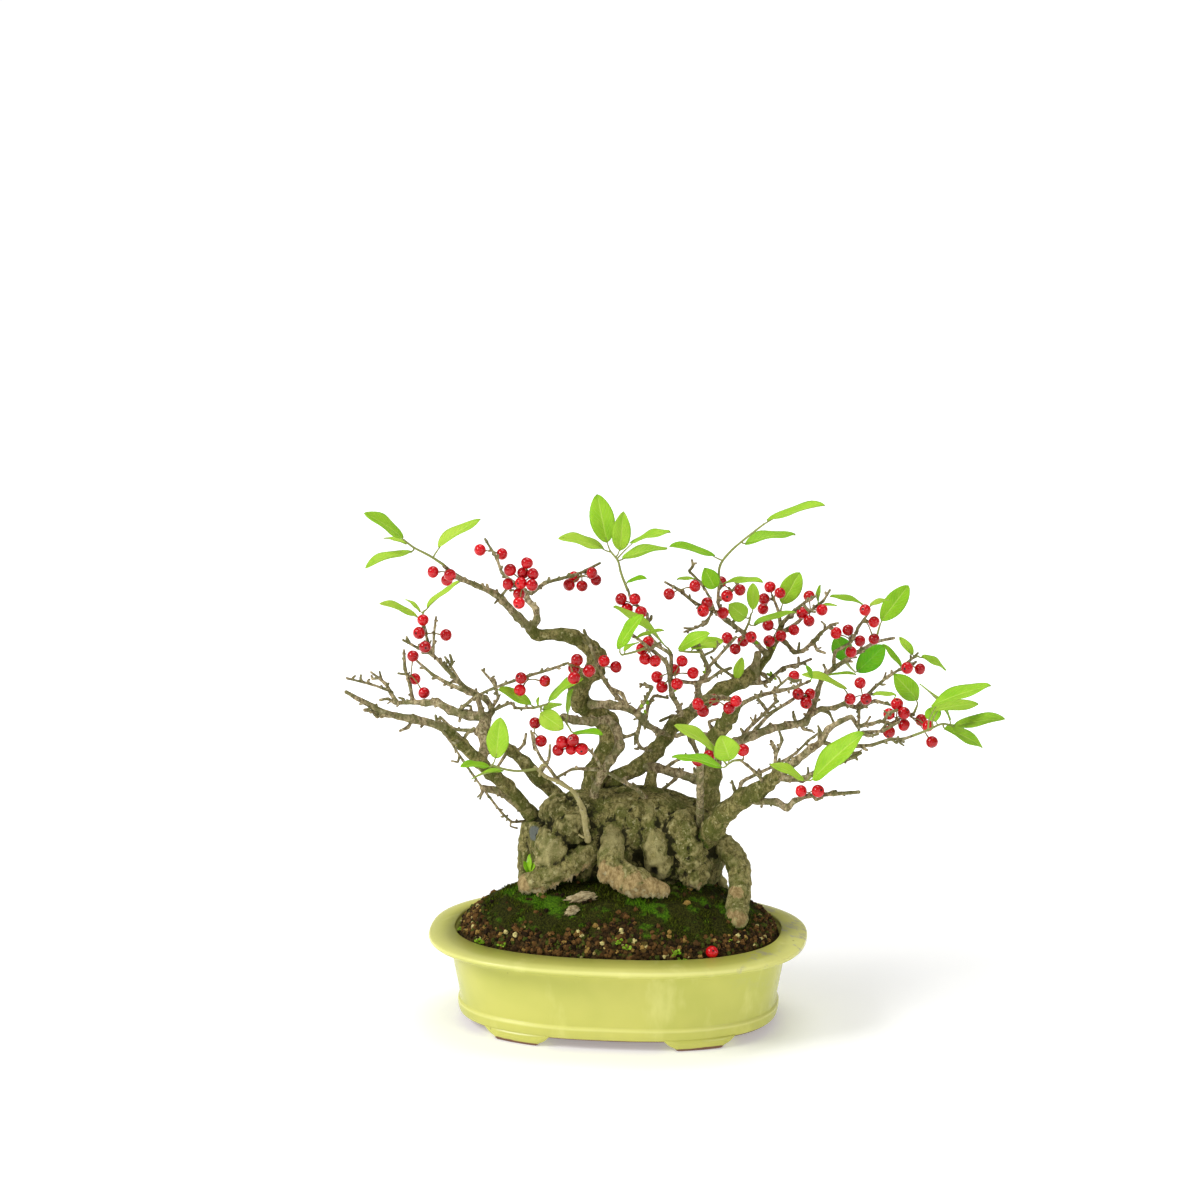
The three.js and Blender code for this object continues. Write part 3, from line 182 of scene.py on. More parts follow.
LIMBS = [
  # left low branch with its side tip, and the cut stub under it
  [15, 10, [542,824,8, 529,812,2, 507,786,-6, 491,773,-10, 481,763,-12, 462,744,-18, 443,727,-24]],
  [10, 4, [462,744,-18, 443,727,-24, 413,719,-30, 387,714,-34, 373,707,-36, 346,692,-40]],
  [4, 2.5, [387,714,-34, 376,713,-36, 366,710,-38]],
  [9, 7, [534,818,6, 519,806,2, 499,791,-2, 483,788,-4]],
  # second left branch, and the upright piece that meets it
  [15, 8, [566,812,12, 557,796,12, 538,778,12, 524,762,11, 512,751,9, 498,739,6, 484,730,3]],
  [10, 9, [481,763,-12, 485,744,-5, 481,731,1, 486,718,5]],
  # left pad
  [11, 4, [483,728,3, 486,718,5, 468,715,9, 450,710,13, 437,702,17, 425,703,19, 413,702,22, 395,703,27]],
  [5, 2.5, [397,703,26, 391,693,30, 386,684,33, 371,672,37]],
  [3, 2.5, [391,691,30, 370,684,28, 346,678,24]],
  [4, 2.5, [413,702,22, 410,685,25, 405,669,28, 404,650,30]],
  [6, 2.5, [484,722,4, 476,694,3, 463,686,1, 447,669,-3, 433,655,-7, 418,648,-11, 403,640,-15]],
  [3, 2.5, [433,655,-7, 434,635,-9, 436,617,-11]],
  [3, 2.5, [431,653,-7, 427,638,-5, 422,624,-2]],
  [7, 2.5, [486,720,5, 492,710,9, 485,698,13, 468,692,17, 449,684,21, 432,674,25, 416,660,29]],
  [3, 2.5, [463,686,1, 457,676,6, 445,657,10]],
  [3.5, 2.5, [457,712,12, 478,695,-4, 502,685,-10, 528,676,-15, 548,670,-19, 568,663,-23]],
  [3.5, 2.5, [490,710,9, 498,698,14, 494,684,19, 482,670,24]],
  [3.5, 2.5, [491,711,9, 511,703,3, 516,708,-1, 533,708,-6]],
  [4, 3, [479,731,1, 454,729,4, 440,717,8]],
  [2.5, 2.5, [437,723,-25, 450,741,-27, 466,765,-25, 481,786,-19, 502,813,-12, 512,822,-6, 530,820,4]],
  # leader, an S from the middle of the trunk to the top left
  [21, 16, [596,808,10, 592,790,10, 596,774,12, 605,755,15, 611,736,18, 608,723,20, 594,712,20, 581,703,18,
    578,693,16, 585,678,13, 594,671,12, 597,657,11, 591,647,11]],
  [14, 11, [594,652,11, 583,642,11, 573,637,11, 560,634,11, 537,635,9, 530,628,7]],
  [10, 3.5, [537,635,9, 530,628,7, 519,618,3, 502,600,-4, 495,594,-7, 476,585,-13, 461,579,-18, 444,566,-25]],
  [8, 5, [530,628,7, 537,620,11, 536,609,14, 528,600,18, 525,590,21]],
  [4, 2.5, [525,591,21, 502,573,27, 497,559,30, 485,539,35]],
  [5, 2.5, [525,594,20, 533,592,23, 545,583,27, 571,576,32, 585,571,35, 600,563,38]],
  [3, 2.5, [500,598,-5, 508,588,-9, 524,585,-13]],
  [5, 3, [630,710,4, 617,697,2, 605,681,1, 598,665,2, 589,642,4, 584,630,6]],
  [9, 5, [586,706,19, 592,704,14, 611,705,8, 630,709,4, 639,715,3, 645,723,6, 656,730,12, 668,735,20]],
  [4, 2.5, [637,713,3, 647,697,-4, 652,687,-8, 640,684,-12]],
  [4, 2.5, [645,722,6, 648,706,11, 654,696,15, 668,698,19]],
  [4, 3, [641,717,4, 638,732,7, 622,738,12, 612,738,17]],
  [4, 3, [638,731,7, 637,740,8, 641,748,10, 654,751,16]],
  [8, 8, [592,802,2, 596,787,-1, 602,774,-3, 611,759,-4, 620,746,-3, 616,729,-1, 608,720,1, 592,722,-2,
    575,720,-6, 563,717,-10]],
  # branch to the back right
  [17, 6, [604,800,12, 617,778,13, 637,768,15, 655,751,18, 666,737,21, 675,724,24, 685,716,27, 698,707,31,
    719,691,36, 739,684,41, 756,671,45, 768,656,49, 777,638,53, 782,624,57]],
  [13, 15, [676,724,24, 700,706,31, 722,690,37, 742,681,42, 755,671,45]],
  [4, 2.5, [781,628,56, 778,610,60, 772,595,64]],
  [5, 3, [742,683,41, 766,682,46, 783,668,50, 800,664,54, 811,659,57]],
  [10, 8, [638,766,15, 656,768,13, 676,773,11, 695,779,9, 712,786,5]],
  [13, 11, [656,802,8, 650,788,11, 652,772,13]],
  # sticks at the front
  [6, 3, [588,840,-13, 586,830,-18, 583,810,-22, 574,792,-24, 561,783,-27, 545,776,-29, 535,767,-31]],
  [3.5, 2.5, [560,783,-27, 551,771,-23, 541,758,-19, 533,741,-16, 531,731,-14]],
  [3, 2.5, [541,772,-29, 549,759,-25, 550,745,-24]],
  [5, 2.5, [650,804,2, 637,789,-8, 617,778,-14, 602,769,-18, 594,755,-21, 586,747,-23]],
  [3.5, 3, [604,770,-17, 573,769,-22, 558,777,-26]],
  [8, 7, [700,836,2, 700,812,-12, 700,790,-22, 700,763,-34]],
  # upright branch on the right, and its fork
  [19, 12, [706,812,8, 710,799,7, 712,774,5, 713,755,2, 715,738,-2, 724,725,-7, 730,716,-11, 735,707,-15]],
  [5, 3, [735,707,-15, 737,701,-19, 722,697,-25, 706,696,-30]],
  [5, 3, [733,712,-13, 745,702,-12, 761,695,-8, 779,691,-3, 796,687,2, 810,681,7]],
  [6, 3, [681,718,26, 679,708,20, 672,695,10, 670,678,0, 666,662,-8, 648,647,-16, 629,632,-24]],
  [4, 2.5, [670,680,1, 671,655,5, 657,645,9, 648,632,13, 647,614,17, 631,600,21, 628,589,23]],
  # pad at the upper right
  [6, 2.5, [768,656,49, 758,645,45, 744,633,41, 726,620,34, 712,610,28, 695,603,22, 679,590,16, 665,582,12]],
  [3, 2.5, [714,611,29, 710,598,34, 700,582,38, 689,571,42]],
  [3, 2.5, [712,612,28, 709,618,24, 698,627,19, 684,632,13]],
  [4, 3, [724,619,33, 718,602,27, 719,586,21]],
  [3, 2.5, [718,601,27, 731,592,31, 742,578,35]],
  [8, 3, [690,713,29, 698,698,25, 698,685,18, 709,671,10, 703,657,3, 698,642,-4]],
  [3, 2.5, [702,652,1, 693,646,-4, 688,641,-6]],
  [4, 2.5, [781,625,56, 795,610,52, 807,601,48, 816,596,45]],
  [4, 2.5, [779,634,54, 798,622,58, 810,611,61, 823,601,64, 830,590,67]],
  [5, 2.5, [778,637,53, 786,643,50, 794,652,47, 803,651,43, 813,641,38, 821,633,34, 831,625,30, 838,623,27]],
  # right low branch at the front
  [20, 13, [690,850,2, 705,838,-6, 713,829,-12, 727,811,-19, 743,798,-25, 757,792,-30, 768,783,-34,
    779,774,-38]],
  [7, 3, [776,777,-37, 802,779,-46, 815,773,-50, 834,765,-54, 853,757,-58, 861,753,-60]],
  [8, 3.5, [748,797,-27, 757,801,-30, 776,802,-36, 787,808,-40, 794,801,-43, 808,796,-46, 834,794,-52,
    859,792,-58]],
  [9, 5, [777,776,-37, 796,761,-41, 812,748,-44, 822,741,-46, 828,729,-47, 840,722,-48]],
  [4, 2.5, [821,742,-46, 840,747,-50, 859,746,-54, 872,745,-57, 891,739,-55, 903,739,-53, 912,736,-51]],
  [4, 2.5, [838,747,-50, 850,737,-46, 863,732,-43, 882,731,-40, 899,722,-36]],
  [5, 2.5, [839,722,-48, 851,717,-43, 858,726,-38, 871,724,-33, 880,721,-30, 889,724,-27, 903,717,-22,
    914,713,-18]],
  [4, 2.5, [736,804,-22, 742,782,-14, 757,774,-10, 776,765,-6, 796,753,-2, 808,741,2, 820,732,6]],
  [4, 2.5, [773,780,-36, 776,755,-28, 782,740,-22, 778,728,-18]],
  [4, 2.5, [764,786,-33, 761,779,-37, 755,772,-41, 747,765,-45, 740,760,-48]],
  # right branch at the back
  [10, 3, [713,757,2, 724,748,6, 736,742,11, 751,736,15, 770,729,20, 789,725,25, 805,722,29, 812,709,33,
    817,694,37, 822,679,41, 834,668,45, 845,661,48, 858,652,51, 876,642,55, 894,638,59]],
  [4, 2.5, [834,668,45, 835,652,40, 851,642,36, 858,628,32, 867,615,28]],
  [4, 2.5, [740,741,12, 748,729,9, 764,714,4, 776,701,-3, 774,691,-8, 788,678,-14]],
  [5, 3, [751,736,15, 757,728,18, 771,713,22, 789,702,27, 799,695,31]],
  [6, 3, [808,716,31, 821,709,30, 834,708,28, 844,704,26, 859,708,22, 875,701,18, 891,705,14]],
  [4, 2.5, [857,707,22, 874,688,27, 889,676,32, 903,667,36, 918,653,41]],
  [3, 3, [859,707,22, 859,718,18, 858,728,14]],
]

# Swellings and hollows of the trunk: across, down, back, reach and height.
TRUNK_LUMPS = [
  [550,847,-8, 8, 5], [655,842,-10, 6, 3], [690,862,-10, 8, 3], [640,806,-6, 9, 2], [574,800,0, 8, 3],
  [536,826,2, 6, 3], [668,806,0, 8, 2], [712,826,0, 7, 2], [717,884,-8, 5, -4], [594,880,-10, 5, -6],
  [640,858,-12, 4, -4], [654,872,-12, 4, -3], [572,872,-8, 5, -4], [600,812,-10, 6, -2], [680,792,4, 6, -3],
  [620,830,28, 9, 3], [560,820,24, 8, 3], [690,820,26, 8, 3], [590,850,30, 6, -4], [665,850,30, 6, -4],
]

# Marks of the trunk: across, down, back and reach. The pale stick is the first point of its route.
# The hollows are dented a little and painted near black as their shade; the one under the slanting root holds its
# painted shadow.
HOLLOWS = [[717,884,-6,3.5], [594,882,-8,3.5], [640,858,-13,2.5], [654,872,-14,2.5], [572,882,-8,3]]
CALLUSES = [
  [588,868,-14,3], [572,879,-15,3.4], [556,888,-15,4], [540,892,-13,4.5], [527,885,-10,5], [540,901,-14,4],
  [604,872,-21,5], [616,878,-23,5.5], [632,885,-24,6], [650,889,-25,6], [664,890,-23,4.5],
  [676,889,-14,1.8], [690,887,-14,2], [700,885,-13,1.8], [737,893,-18,3.5], [736,918,-24,4.5],
]
BURLS = [
  [560,812,-4,7], [572,828,-8,8], [552,824,-4,7], [584,806,-4,6], [690,862,-12,8], [694,880,-12,7], [684,838,-8,6],
]
SMOOTH_BARK = [[551,852,-16,7], [548,862,-15,6], [612,842,-14,6], [624,858,-18,5], [655,846,-12,6], [658,864,-14,5]]
CUT_PATCH = [[532,833,-4,4.5]]
PALE_STICK = [588, 840]
# Fresh patches of moss: across, down and reach.
BRIGHT_MOSS = [[514,890,6], [526,897,6], [541,902,6], [556,904,5], [632,898,6], [652,908,7], [700,903,5], [728,912,4]]
# Weeds on the soil by place and size, the sprout's foot and tips, tiny leaves by base, tip and width, and buds.
WEEDS = [[480,944,6], [503,946,5], [462,930,4], [620,944,6], [627,950,5], [675,955,6], [682,962,6], [730,941,3]]
SPROUT = [[529,874,-9], [530,858,-11], [524,861,-10], [535,862,-12], [529,854,-9]]
TINY_LEAVES = [
  [636,638,663,628,4], [694,579,677,578,4], [818,602,819,585,4], [819,606,837,604,3], [896,695,873,693,5],
  [812,678,807,665,5], [829,675,856,672,3], [736,679,742,658,11], [538,707,538,697,3],
]
BUDS = [[712,678], [714,688], [684,691], [682,651], [690,659], [746,650], [640,700], [655,716], [780,655], [768,671]]
# Small twigs as seen, from the wood that bears them: width, then the route.
FINE_TWIGS = [
  [3.5, [680,679, 696,683, 708,680, 720,672, 731,668]], [3, [741,682, 732,676, 718,666, 711,657]],
  [2.5, [706,655, 713,651, 719,644]], [3, [722,662, 728,646, 736,637]], [8, [757,680, 755,668, 758,654]],
  [3, [768,711, 763,705, 758,699]], [3, [818,708, 829,713, 834,723]], [3, [797,723, 794,717, 793,712]],
  [3.5, [778,754, 774,747, 771,741]], [2.5, [824,741, 822,734, 818,726]], [3, [737,796, 734,788, 732,781]],
  [3.5, [664,769, 672,763, 686,756]], [3.5, [668,789, 675,779, 683,769]], [3, [684,714, 672,716, 660,721]],
  [3, [700,729, 709,722, 718,719]], [4.5, [702,728, 690,732, 676,736]], [5, [688,728, 691,740, 697,752]],
  [3, [728,628, 733,622, 738,617]], [4, [612,688, 622,694, 628,707]], [3, [560,800, 556,790, 549,784]],
  [3, [500,758, 497,768, 490,776]], [3, [462,745, 466,735, 474,728]], [3, [413,719, 408,727, 400,731]],
  [3, [395,703, 388,699, 380,700]], [3, [447,669, 452,663, 450,655]], [3, [516,751, 524,744, 526,734]],
  [3, [846,747, 852,753, 860,752]], [3, [884,721, 889,713, 897,710]], [3, [861,731, 868,736, 878,734]],
  [3, [800,722, 804,729, 812,731]], [3, [786,676, 794,681, 801,680]], [3.5, [756,671, 764,675, 770,682]],
  [2.5, [688,571, 693,566, 692,560]], [3, [803,603, 808,610, 815,612]], [3, [813,641, 817,650, 825,653]],
]

# Leafy shoots: the shoot's route, then each leaf's base and tip and its width as seen.
SPRAYS = [
  ["leaves_top_left", [444,565,-25.5, 430,556,-31, 413,547,-38, 404,540,-42],
    [[403,538,-43, 367,511,-52, 12], [406,544,-41, 384,535,-33, 5], [412,552,-38, 365,561,-50, 9],
      [438,547,-28, 479,516,-16, 13]]],
  ["leaves_left_pair", [422,624,-2, 422,617,0, 424,611,2],
    [[427,608,2, 460,578,10, 7], [417,617,0, 382,600,-8, 7], [420,612,3, 407,597,8, 4]]],
  ["leaves_left_hanging", [536,769,-31, 518,771,-36, 504,769,-40, 492,765,-42],
    [[496,758,-43, 500,719,-48, 22], [490,767,-42, 462,763,-52, 6], [503,771,-41, 470,774,-33, 4]]],
  ["leaves_centre_left", [533,708,-6, 541,706,-10, 547,704,-14],
    [[531,704,-8, 500,688,-18, 11], [540,713,-12, 562,728,-20, 20], [549,701,-15, 577,675,-26, 9],
      [543,710,-9, 562,702,-1, 7]]],
  ["leaves_centre_curl", [566,719,-9, 566,722,-14, 570,729,-19],
    [[573,733,-20, 602,732,-30, 6], [568,714,-14, 570,689,-18, 5]]],
  ["leaves_top_middle", [628,591,23, 621,573,26, 618,561,28, 611,552,31],
    [[607,543,32, 597,494,36, 25], [604,549,33, 561,534,24, 12], [620,551,28, 623,514,22, 19],
      [630,543,26, 669,529,16, 8], [622,559,30, 667,543,40, 12], [627,582,22, 645,576,16, 5]]],
  ["leaves_middle", [648,647,-16, 634,652,-19, 622,655,-21],
    [[618,649,-22, 640,614,-28, 13], [624,651,-20, 638,640,-12, 5]]],
  ["leaves_middle_long", [671,653,5, 668,648,1],
    [[664,644,0, 617,603,-10, 7]]],
  ["leaves_top_right", [719,587,21, 720,566,15, 730,552,9, 746,538,2, 764,524,-5],
    [[715,556,13, 671,543,4, 9], [715,588,17, 705,569,12, 18], [745,544,4, 795,528,14, 12],
      [767,521,-6, 823,501,-16, 9], [724,583,21, 762,578,12, 6]]],
  ["leaves_pad_right", [744,633,41, 749,622,38, 751,614,36],
    [[746,618,36, 730,605,28, 19], [753,610,36, 753,582,42, 13], [754,626,38, 795,607,46, 8]]],
  ["leaves_pad_far", [780,616,58, 781,609,61],
    [[782,604,62, 800,572,66, 22]]],
  ["leaves_pad_low", [701,652,0, 690,652,-6, 680,651,-11],
    [[678,649,-12, 708,632,-20, 13], [691,648,-4, 724,638,6, 14]]],
  ["leaves_right_tall", [876,642,55, 878,632,56, 880,625,57],
    [[881,621,57, 909,585,62, 22]]],
  ["leaves_right_small", [867,615,28, 867,608,26],
    [[863,604,24, 831,594,18, 6], [870,606,27, 889,597,34, 6]]],
  ["leaves_right_dark", [845,661,48, 850,667,54, 854,671,60],
    [[857,672,62, 885,645,70, 24], [848,662,60, 836,636,66, 22]]],
  ["leaves_right_upper", [903,667,37, 910,660,40, 918,656,42],
    [[901,667,40, 884,643,44, 7], [913,655,43, 900,636,47, 9], [921,657,42, 949,667,48, 9]]],
  ["leaves_right_single", [914,713,-18, 917,706,-18],
    [[918,700,-18, 895,675,-26, 20]]],
  ["leaves_right_tip", [912,736,-51, 928,730,-47, 942,724,-42, 951,725,-40],
    [[931,706,-52, 989,682,-58, 12], [933,711,-47, 979,700,-38, 13], [936,722,-42, 930,706,-36, 16],
      [954,726,-39, 1004,716,-46, 12], [944,729,-43, 986,744,-34, 14], [951,720,-40, 925,680,-30, 4]]],
  ["leaves_right_inner", [844,704,26, 847,695,23],
    [[847,689,22, 804,671,14, 8]]],
  ["leaves_right_low", [811,776,-50, 808,780,-53],
    [[812,780,-55, 861,731,-62, 20], [804,780,-54, 773,762,-60, 9]]],
  ["leaves_front", [740,760,-48, 733,761,-52, 727,765,-55],
    [[716,750,-58, 677,723,-66, 11], [730,760,-57, 722,738,-62, 26], [722,768,-55, 673,751,-48, 10]]],
]

# Berries as seen, by the bunch.
BUNCHES = [
  [[433,572], [447,580], [450,575]],
  [[480,550], [502,554]],
  [[527,563], [523,573], [510,570], [533,574], [508,584], [532,585], [519,594], [519,603], [521,583]],
  [[569,585], [574,577], [582,586], [592,573], [596,580]],
  [[423,620], [419,633], [446,635], [425,647]],
  [[413,656], [415,679], [424,693]],
  [[521,678], [545,681], [520,690]],
  [[577,660], [574,668], [589,671], [574,678]],
  [[535,723], [541,741]],
  [[558,750], [562,742], [573,740], [571,749], [582,749]],
  [[604,661], [616,667]],
  [[621,599], [635,599], [627,609], [641,612]],
  [[648,642], [642,649], [645,659], [655,661]],
  [[657,677], [662,687], [674,670], [682,661], [677,684], [693,673]],
  [[698,704], [714,700], [703,711], [729,708], [736,701]],
  [[698,760], [709,756]],
  [[743,750]],
  [[669,594], [695,586]],
  [[707,603], [703,611], [723,613]],
  [[721,582], [727,596], [740,590]],
  [[727,638], [743,641], [735,649], [751,637]],
  [[770,587], [780,593], [764,599], [763,609]],
  [[809,596], [802,613], [809,621], [822,610]],
  [[794,630], [768,625], [769,641], [781,636]],
  [[836,633], [848,630], [851,652], [860,641]],
  [[865,610], [874,622], [874,639]],
  [[794,676], [798,694], [810,694], [806,703]],
  [[907,668], [920,669]],
  [[860,683], [850,699], [866,699]],
  [[897,704], [889,714], [904,713], [904,725], [889,732]],
  [[921,720], [928,726], [932,742]],
  [[801,791], [818,791]],
]

pot_low, pot_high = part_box("pot")
MIDDLE = np.array([(pot_low[0] + pot_high[0]) / 2, (pot_low[1] + pot_high[1]) / 2, 0])


# Geometry

def turned(points, angle):
    """The points turned about the upright axis."""
    points = np.asarray(points, float)
    c, s = math.cos(angle), math.sin(angle)
    return np.stack([points[..., 0] * c - points[..., 1] * s, points[..., 0] * s + points[..., 1] * c,
                     points[..., 2]], -1)


FORWARD = np.array([0, math.cos(SIGHT_ANGLE), -math.sin(SIGHT_ANGLE)])
UPWARD = np.array([0, math.sin(SIGHT_ANGLE), math.cos(SIGHT_ANGLE)])
EYE = SIGHT_POINT - FORWARD * SIGHT_DISTANCE


def seen(across, down, back):
    """The point seen at (across, down) that lies `back` behind the sight point."""
    ray = FORWARD * SIGHT_DISTANCE + UPWARD * (SIGHT_DOWN - down) * STEP
    ray = ray + np.array([1.0, 0, 0]) * (across - SIGHT_ACROSS) * STEP
    point = EYE + ray * ((SIGHT_POINT[1] + back - EYE[1]) / ray[1])
    return turned(point, SIGHT_TURN)


def seen_route(flat):
    """The points of a route that is written as across, down and back of each."""
    return np.array([seen(*flat[i:i + 3]) for i in range(0, len(flat), 3)])


def unit(vectors):
    """The vectors at length one."""
    vectors = np.asarray(vectors, float)
    return vectors / np.maximum(np.linalg.norm(vectors, axis=-1, keepdims=True), 1e-12)


def smooth_route(route, radii, pace, ease=1.0):
    """A smooth curve through the route's points, in steps of about `pace`, with its radii."""
    route = np.asarray(route, float)
    radii = np.asarray(radii, float)
    before = 2 * route[0] - route[1]
    after = 2 * route[-1] - route[-2]
    full = np.vstack([before, route, after])
    points, sizes = [], []
    for i in range(len(route) - 1):
        p = full[i:i + 4]
        gaps = np.maximum(np.linalg.norm(np.diff(p, axis=0), axis=1), 1e-6) ** 0.5
        m1 = (p[2] - p[1]) / gaps[1] - (p[2] - p[0]) / (gaps[0] + gaps[1]) + (p[1] - p[0]) / gaps[0]
        m2 = (p[3] - p[2]) / gaps[2] - (p[3] - p[1]) / (gaps[1] + gaps[2]) + (p[2] - p[1]) / gaps[1]
        m1, m2 = m1 * gaps[1], m2 * gaps[1]
        chord = p[2] - p[1]
        m1, m2 = chord + (m1 - chord) * ease, chord + (m2 - chord) * ease
        count = max(2, int(math.ceil(np.linalg.norm(p[2] - p[1]) / pace)))
        t = np.linspace(0, 1, count, endpoint=False)[:, None]
        h = [2 * t**3 - 3 * t**2 + 1, t**3 - 2 * t**2 + t, -2 * t**3 + 3 * t**2, t**3 - t**2]
        points.append(h[0] * p[1] + h[1] * m1 + h[2] * p[2] + h[3] * m2)
        sizes.append(radii[i] + (radii[i + 1] - radii[i]) * (t[:, 0]**2 * (3 - 2 * t[:, 0])))
    points.append(route[-1:])
    sizes.append(radii[-1:])
    return np.vstack(points), np.concatenate(sizes)


class Build:
    """Vertices, faces and named values for each vertex, gathered for one mesh."""

    def __init__(self):
        self.points, self.faces, self.values, self.count = [], [], {}, 0

    def add(self, points, faces, **values):
        """Add points and their faces, with named values: a number for all or one each, zero if not given."""
        points = np.asarray(points, float)
        self.points.append(points)
        self.faces.append([tuple(v + self.count for v in face) for face in faces])
        for name in {**self.values, **values}:
            kept = self.values.setdefault(name, [np.zeros(self.count)])
            value = values.get(name, 0.0)
            kept.append(np.broadcast_to(np.asarray(value, float), (len(points),)))
        self.count += len(points)


def grid_faces(rows, columns, closed):
    """Four-sided faces between rows of points, each row a ring if closed."""
    last = columns if closed else columns - 1
    return [(r * columns + c, r * columns + (c + 1) % columns, (r + 1) * columns + (c + 1) % columns,
             (r + 1) * columns + c) for r in range(rows - 1) for c in range(last)]


def fan(first, count, tip, way=1):
    """Triangles from a closed ring of vertices to its tip."""
    return [(tip, first + c, first + (c + 1) % count)[::way] for c in range(count)]


def tube(build, route, radii, sides, pace, lumps=0.0, seed=0, ease=1.0, knots=0.0, **values):
    """A round limb along the route, with a rounded end and a little unevenness."""
    points, sizes = smooth_route(route, radii, pace, ease)
    if knots and len(route) > 2:
        near = np.min(np.linalg.norm(points[:, None] - np.asarray(route)[None, 1:-1], axis=2), axis=1)
        sizes = sizes * (1 + knots * np.exp(-(near / (0.7 * sizes + 0.4)) ** 2))
    along = unit(np.gradient(points, axis=0))
    side = START_SIDE
    rings = []
    angles = np.linspace(0, 2 * math.pi, sides, endpoint=False)
    for i in range(len(points)):
        side = unit(side - along[i] * side.dot(along[i]))
        upright = np.cross(along[i], side)
        ring = np.cos(angles)[:, None] * side + np.sin(angles)[:, None] * upright
        if lumps:
            swell = [noise.noise(Vector(points[i] * 0.35 + r * sizes[i] * 0.5 + seed * 7.3)) for r in ring]
            size = sizes[i] * (1 + lumps * np.array(swell))[:, None]
        else:
            size = sizes[i]
        rings.append(points[i] + ring * size)
    end = rings[-1]
    for share, reach in ((0.8, 0.45), (0.4, 0.8)):
        rings.append(points[-1] + (end - points[-1]) * share + along[-1] * sizes[-1] * reach)
    count = len(rings)
    verts = np.vstack(rings + [points[:1] - along[:1] * 0.2, points[-1:] + along[-1:] * sizes[-1]])
    faces = grid_faces(count, sides, True)
    faces += fan(0, sides, count * sides, -1) + fan((count - 1) * sides, sides, count * sides + 1)
    build.add(verts, faces, **values)
    return points


def put(name, data):
    """An object of the data, in the scene."""
    piece = bpy.data.objects.new(name, data)
    bpy.context.scene.collection.objects.link(piece)
    return piece


def mesh_of(name, points, build):
    """A mesh of the points and the build's faces."""
    mesh = bpy.data.meshes.new(name)
    mesh.from_pydata(points.tolist(), [], [face for part in build.faces for face in part])
    mesh.update()
    return mesh


def make(name, build, paint, nodes, smooth=True):
    """The mesh object of a build, given its material and the CAD nodes that it stands for."""
    mesh = mesh_of(name, np.clip(np.vstack(build.points) * MILLIMETRE + MIDDLE, *start_bounds), build)
    for key, parts in build.values.items():
        layer = mesh.attributes.new(key, "FLOAT", "POINT")
        layer.data.foreach_set("value", np.concatenate(parts).astype(np.float32))
    if smooth:
        mesh.shade_smooth()
    mesh.materials.append(paint)
    piece = put(name, mesh)
    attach(piece, "root")
    if nodes:
        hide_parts(*nodes)


# Materials

class Paint:
    """A procedural material on one shader. A source is a node's output, a number or the name of a vertex value."""

    def __init__(self, name, roughness, specular=0.5):
        self.material = bpy.data.materials.new(name)
        self.material.use_nodes = True
        self.tree = self.material.node_tree
        self.shader = self.tree.nodes["Principled BSDF"]
        self.give(self.shader, {"Roughness": roughness, "Specular IOR Level": specular})
        self.place = self.tree.nodes.new("ShaderNodeTexCoord").outputs["Object"]

    def give(self, node, inputs):
        """Link or set a node's inputs. Three numbers are a colour as seen on a screen, where a colour is wanted."""
        for key, value in inputs.items():
            socket = node.inputs[key]
            if isinstance(value, str):
                value = self.node("Attribute", {}, "Fac", attribute_name=value)
            if hasattr(value, "is_output"):
                self.tree.links.new(value, socket)
            elif socket.type == "RGBA" and len(value) == 3:
                socket.default_value = (*rgb(*value), 1)
            else:
                socket.default_value = value

    def node(self, kind, inputs, output=0, **properties):
        """An output of a new shader node with its inputs and properties."""
        node = self.tree.nodes.new("ShaderNode" + kind)
        for name, value in properties.items():
            setattr(node, name, value)
        self.give(node, inputs)
        return node.outputs[output]

    def noise(self, scale, detail=4.0, rough=0.55, stretch=None):
        """Cloudy noise in the piece's own place, drawn out where the stretch is below one."""
        place = self.node("Mapping", {"Vector": self.place, "Scale": stretch}) if stretch else self.place
        return self.node("TexNoise", {"Vector": place, "Scale": scale, "Detail": detail, "Roughness": rough})

    def cells(self, scale):
        return self.node("TexVoronoi", {"Vector": self.place, "Scale": scale}, "Distance")

    def spread(self, source, low, high, out_low=0.0, out_high=1.0):
        """A smooth step from out_low to out_high as the source passes from low to high."""
        limits = {"From Min": low, "From Max": high, "To Min": out_low, "To Max": out_high}
        return self.node("MapRange", {"Value": source, **limits}, "Result", interpolation_type="SMOOTHSTEP")

    def math(self, kind, first, second):
        return self.node("Math", {0: first, 1: second}, operation=kind)

    def mix(self, share, first, second):
        return self.node("Mix", {"Factor": share, 6: first, 7: second}, 2, data_type="RGBA")

    def ragged(self, name, source, amount, low=0.2, high=0.8):
        """A vertex value with a border that the source frays."""
        return self.math("ADD", name, self.spread(source, low, high, -amount, amount))

    def over(self, body, source, low, high, colour, most=1.0):
        """The body under a colour that comes in as the source passes from low to high."""
        return self.mix(self.spread(source, low, high, 0, most), body, colour)

    def done(self, colour, height=None, distance=0.0, strength=1.0, **inputs):
        """The material, with its base colour, its relief and other inputs of the shader."""
        inputs = {name.replace("_", " "): value for name, value in inputs.items()}
        if height:
            relief = {"Height": height, "Distance": distance, "Strength": strength}
            inputs["Normal"] = self.node("Bump", relief, "Normal")
        self.give(self.shader, {"Base Color": colour, **inputs})
        return self.material


def rgb(red, green, blue):
    """A colour as seen on a screen, as the shader wants it."""
    return tuple(((c / 255 + 0.055) / 1.055) ** 2.4 if c > 10 else c / 255 / 12.92 for c in (red, green, blue))


# A pale glaze colour, used for the glaze's pale runs and for the painted highlights along the pot's edges.
PALE_GLAZE_AND_HIGHLIGHT = (232, 230, 140)


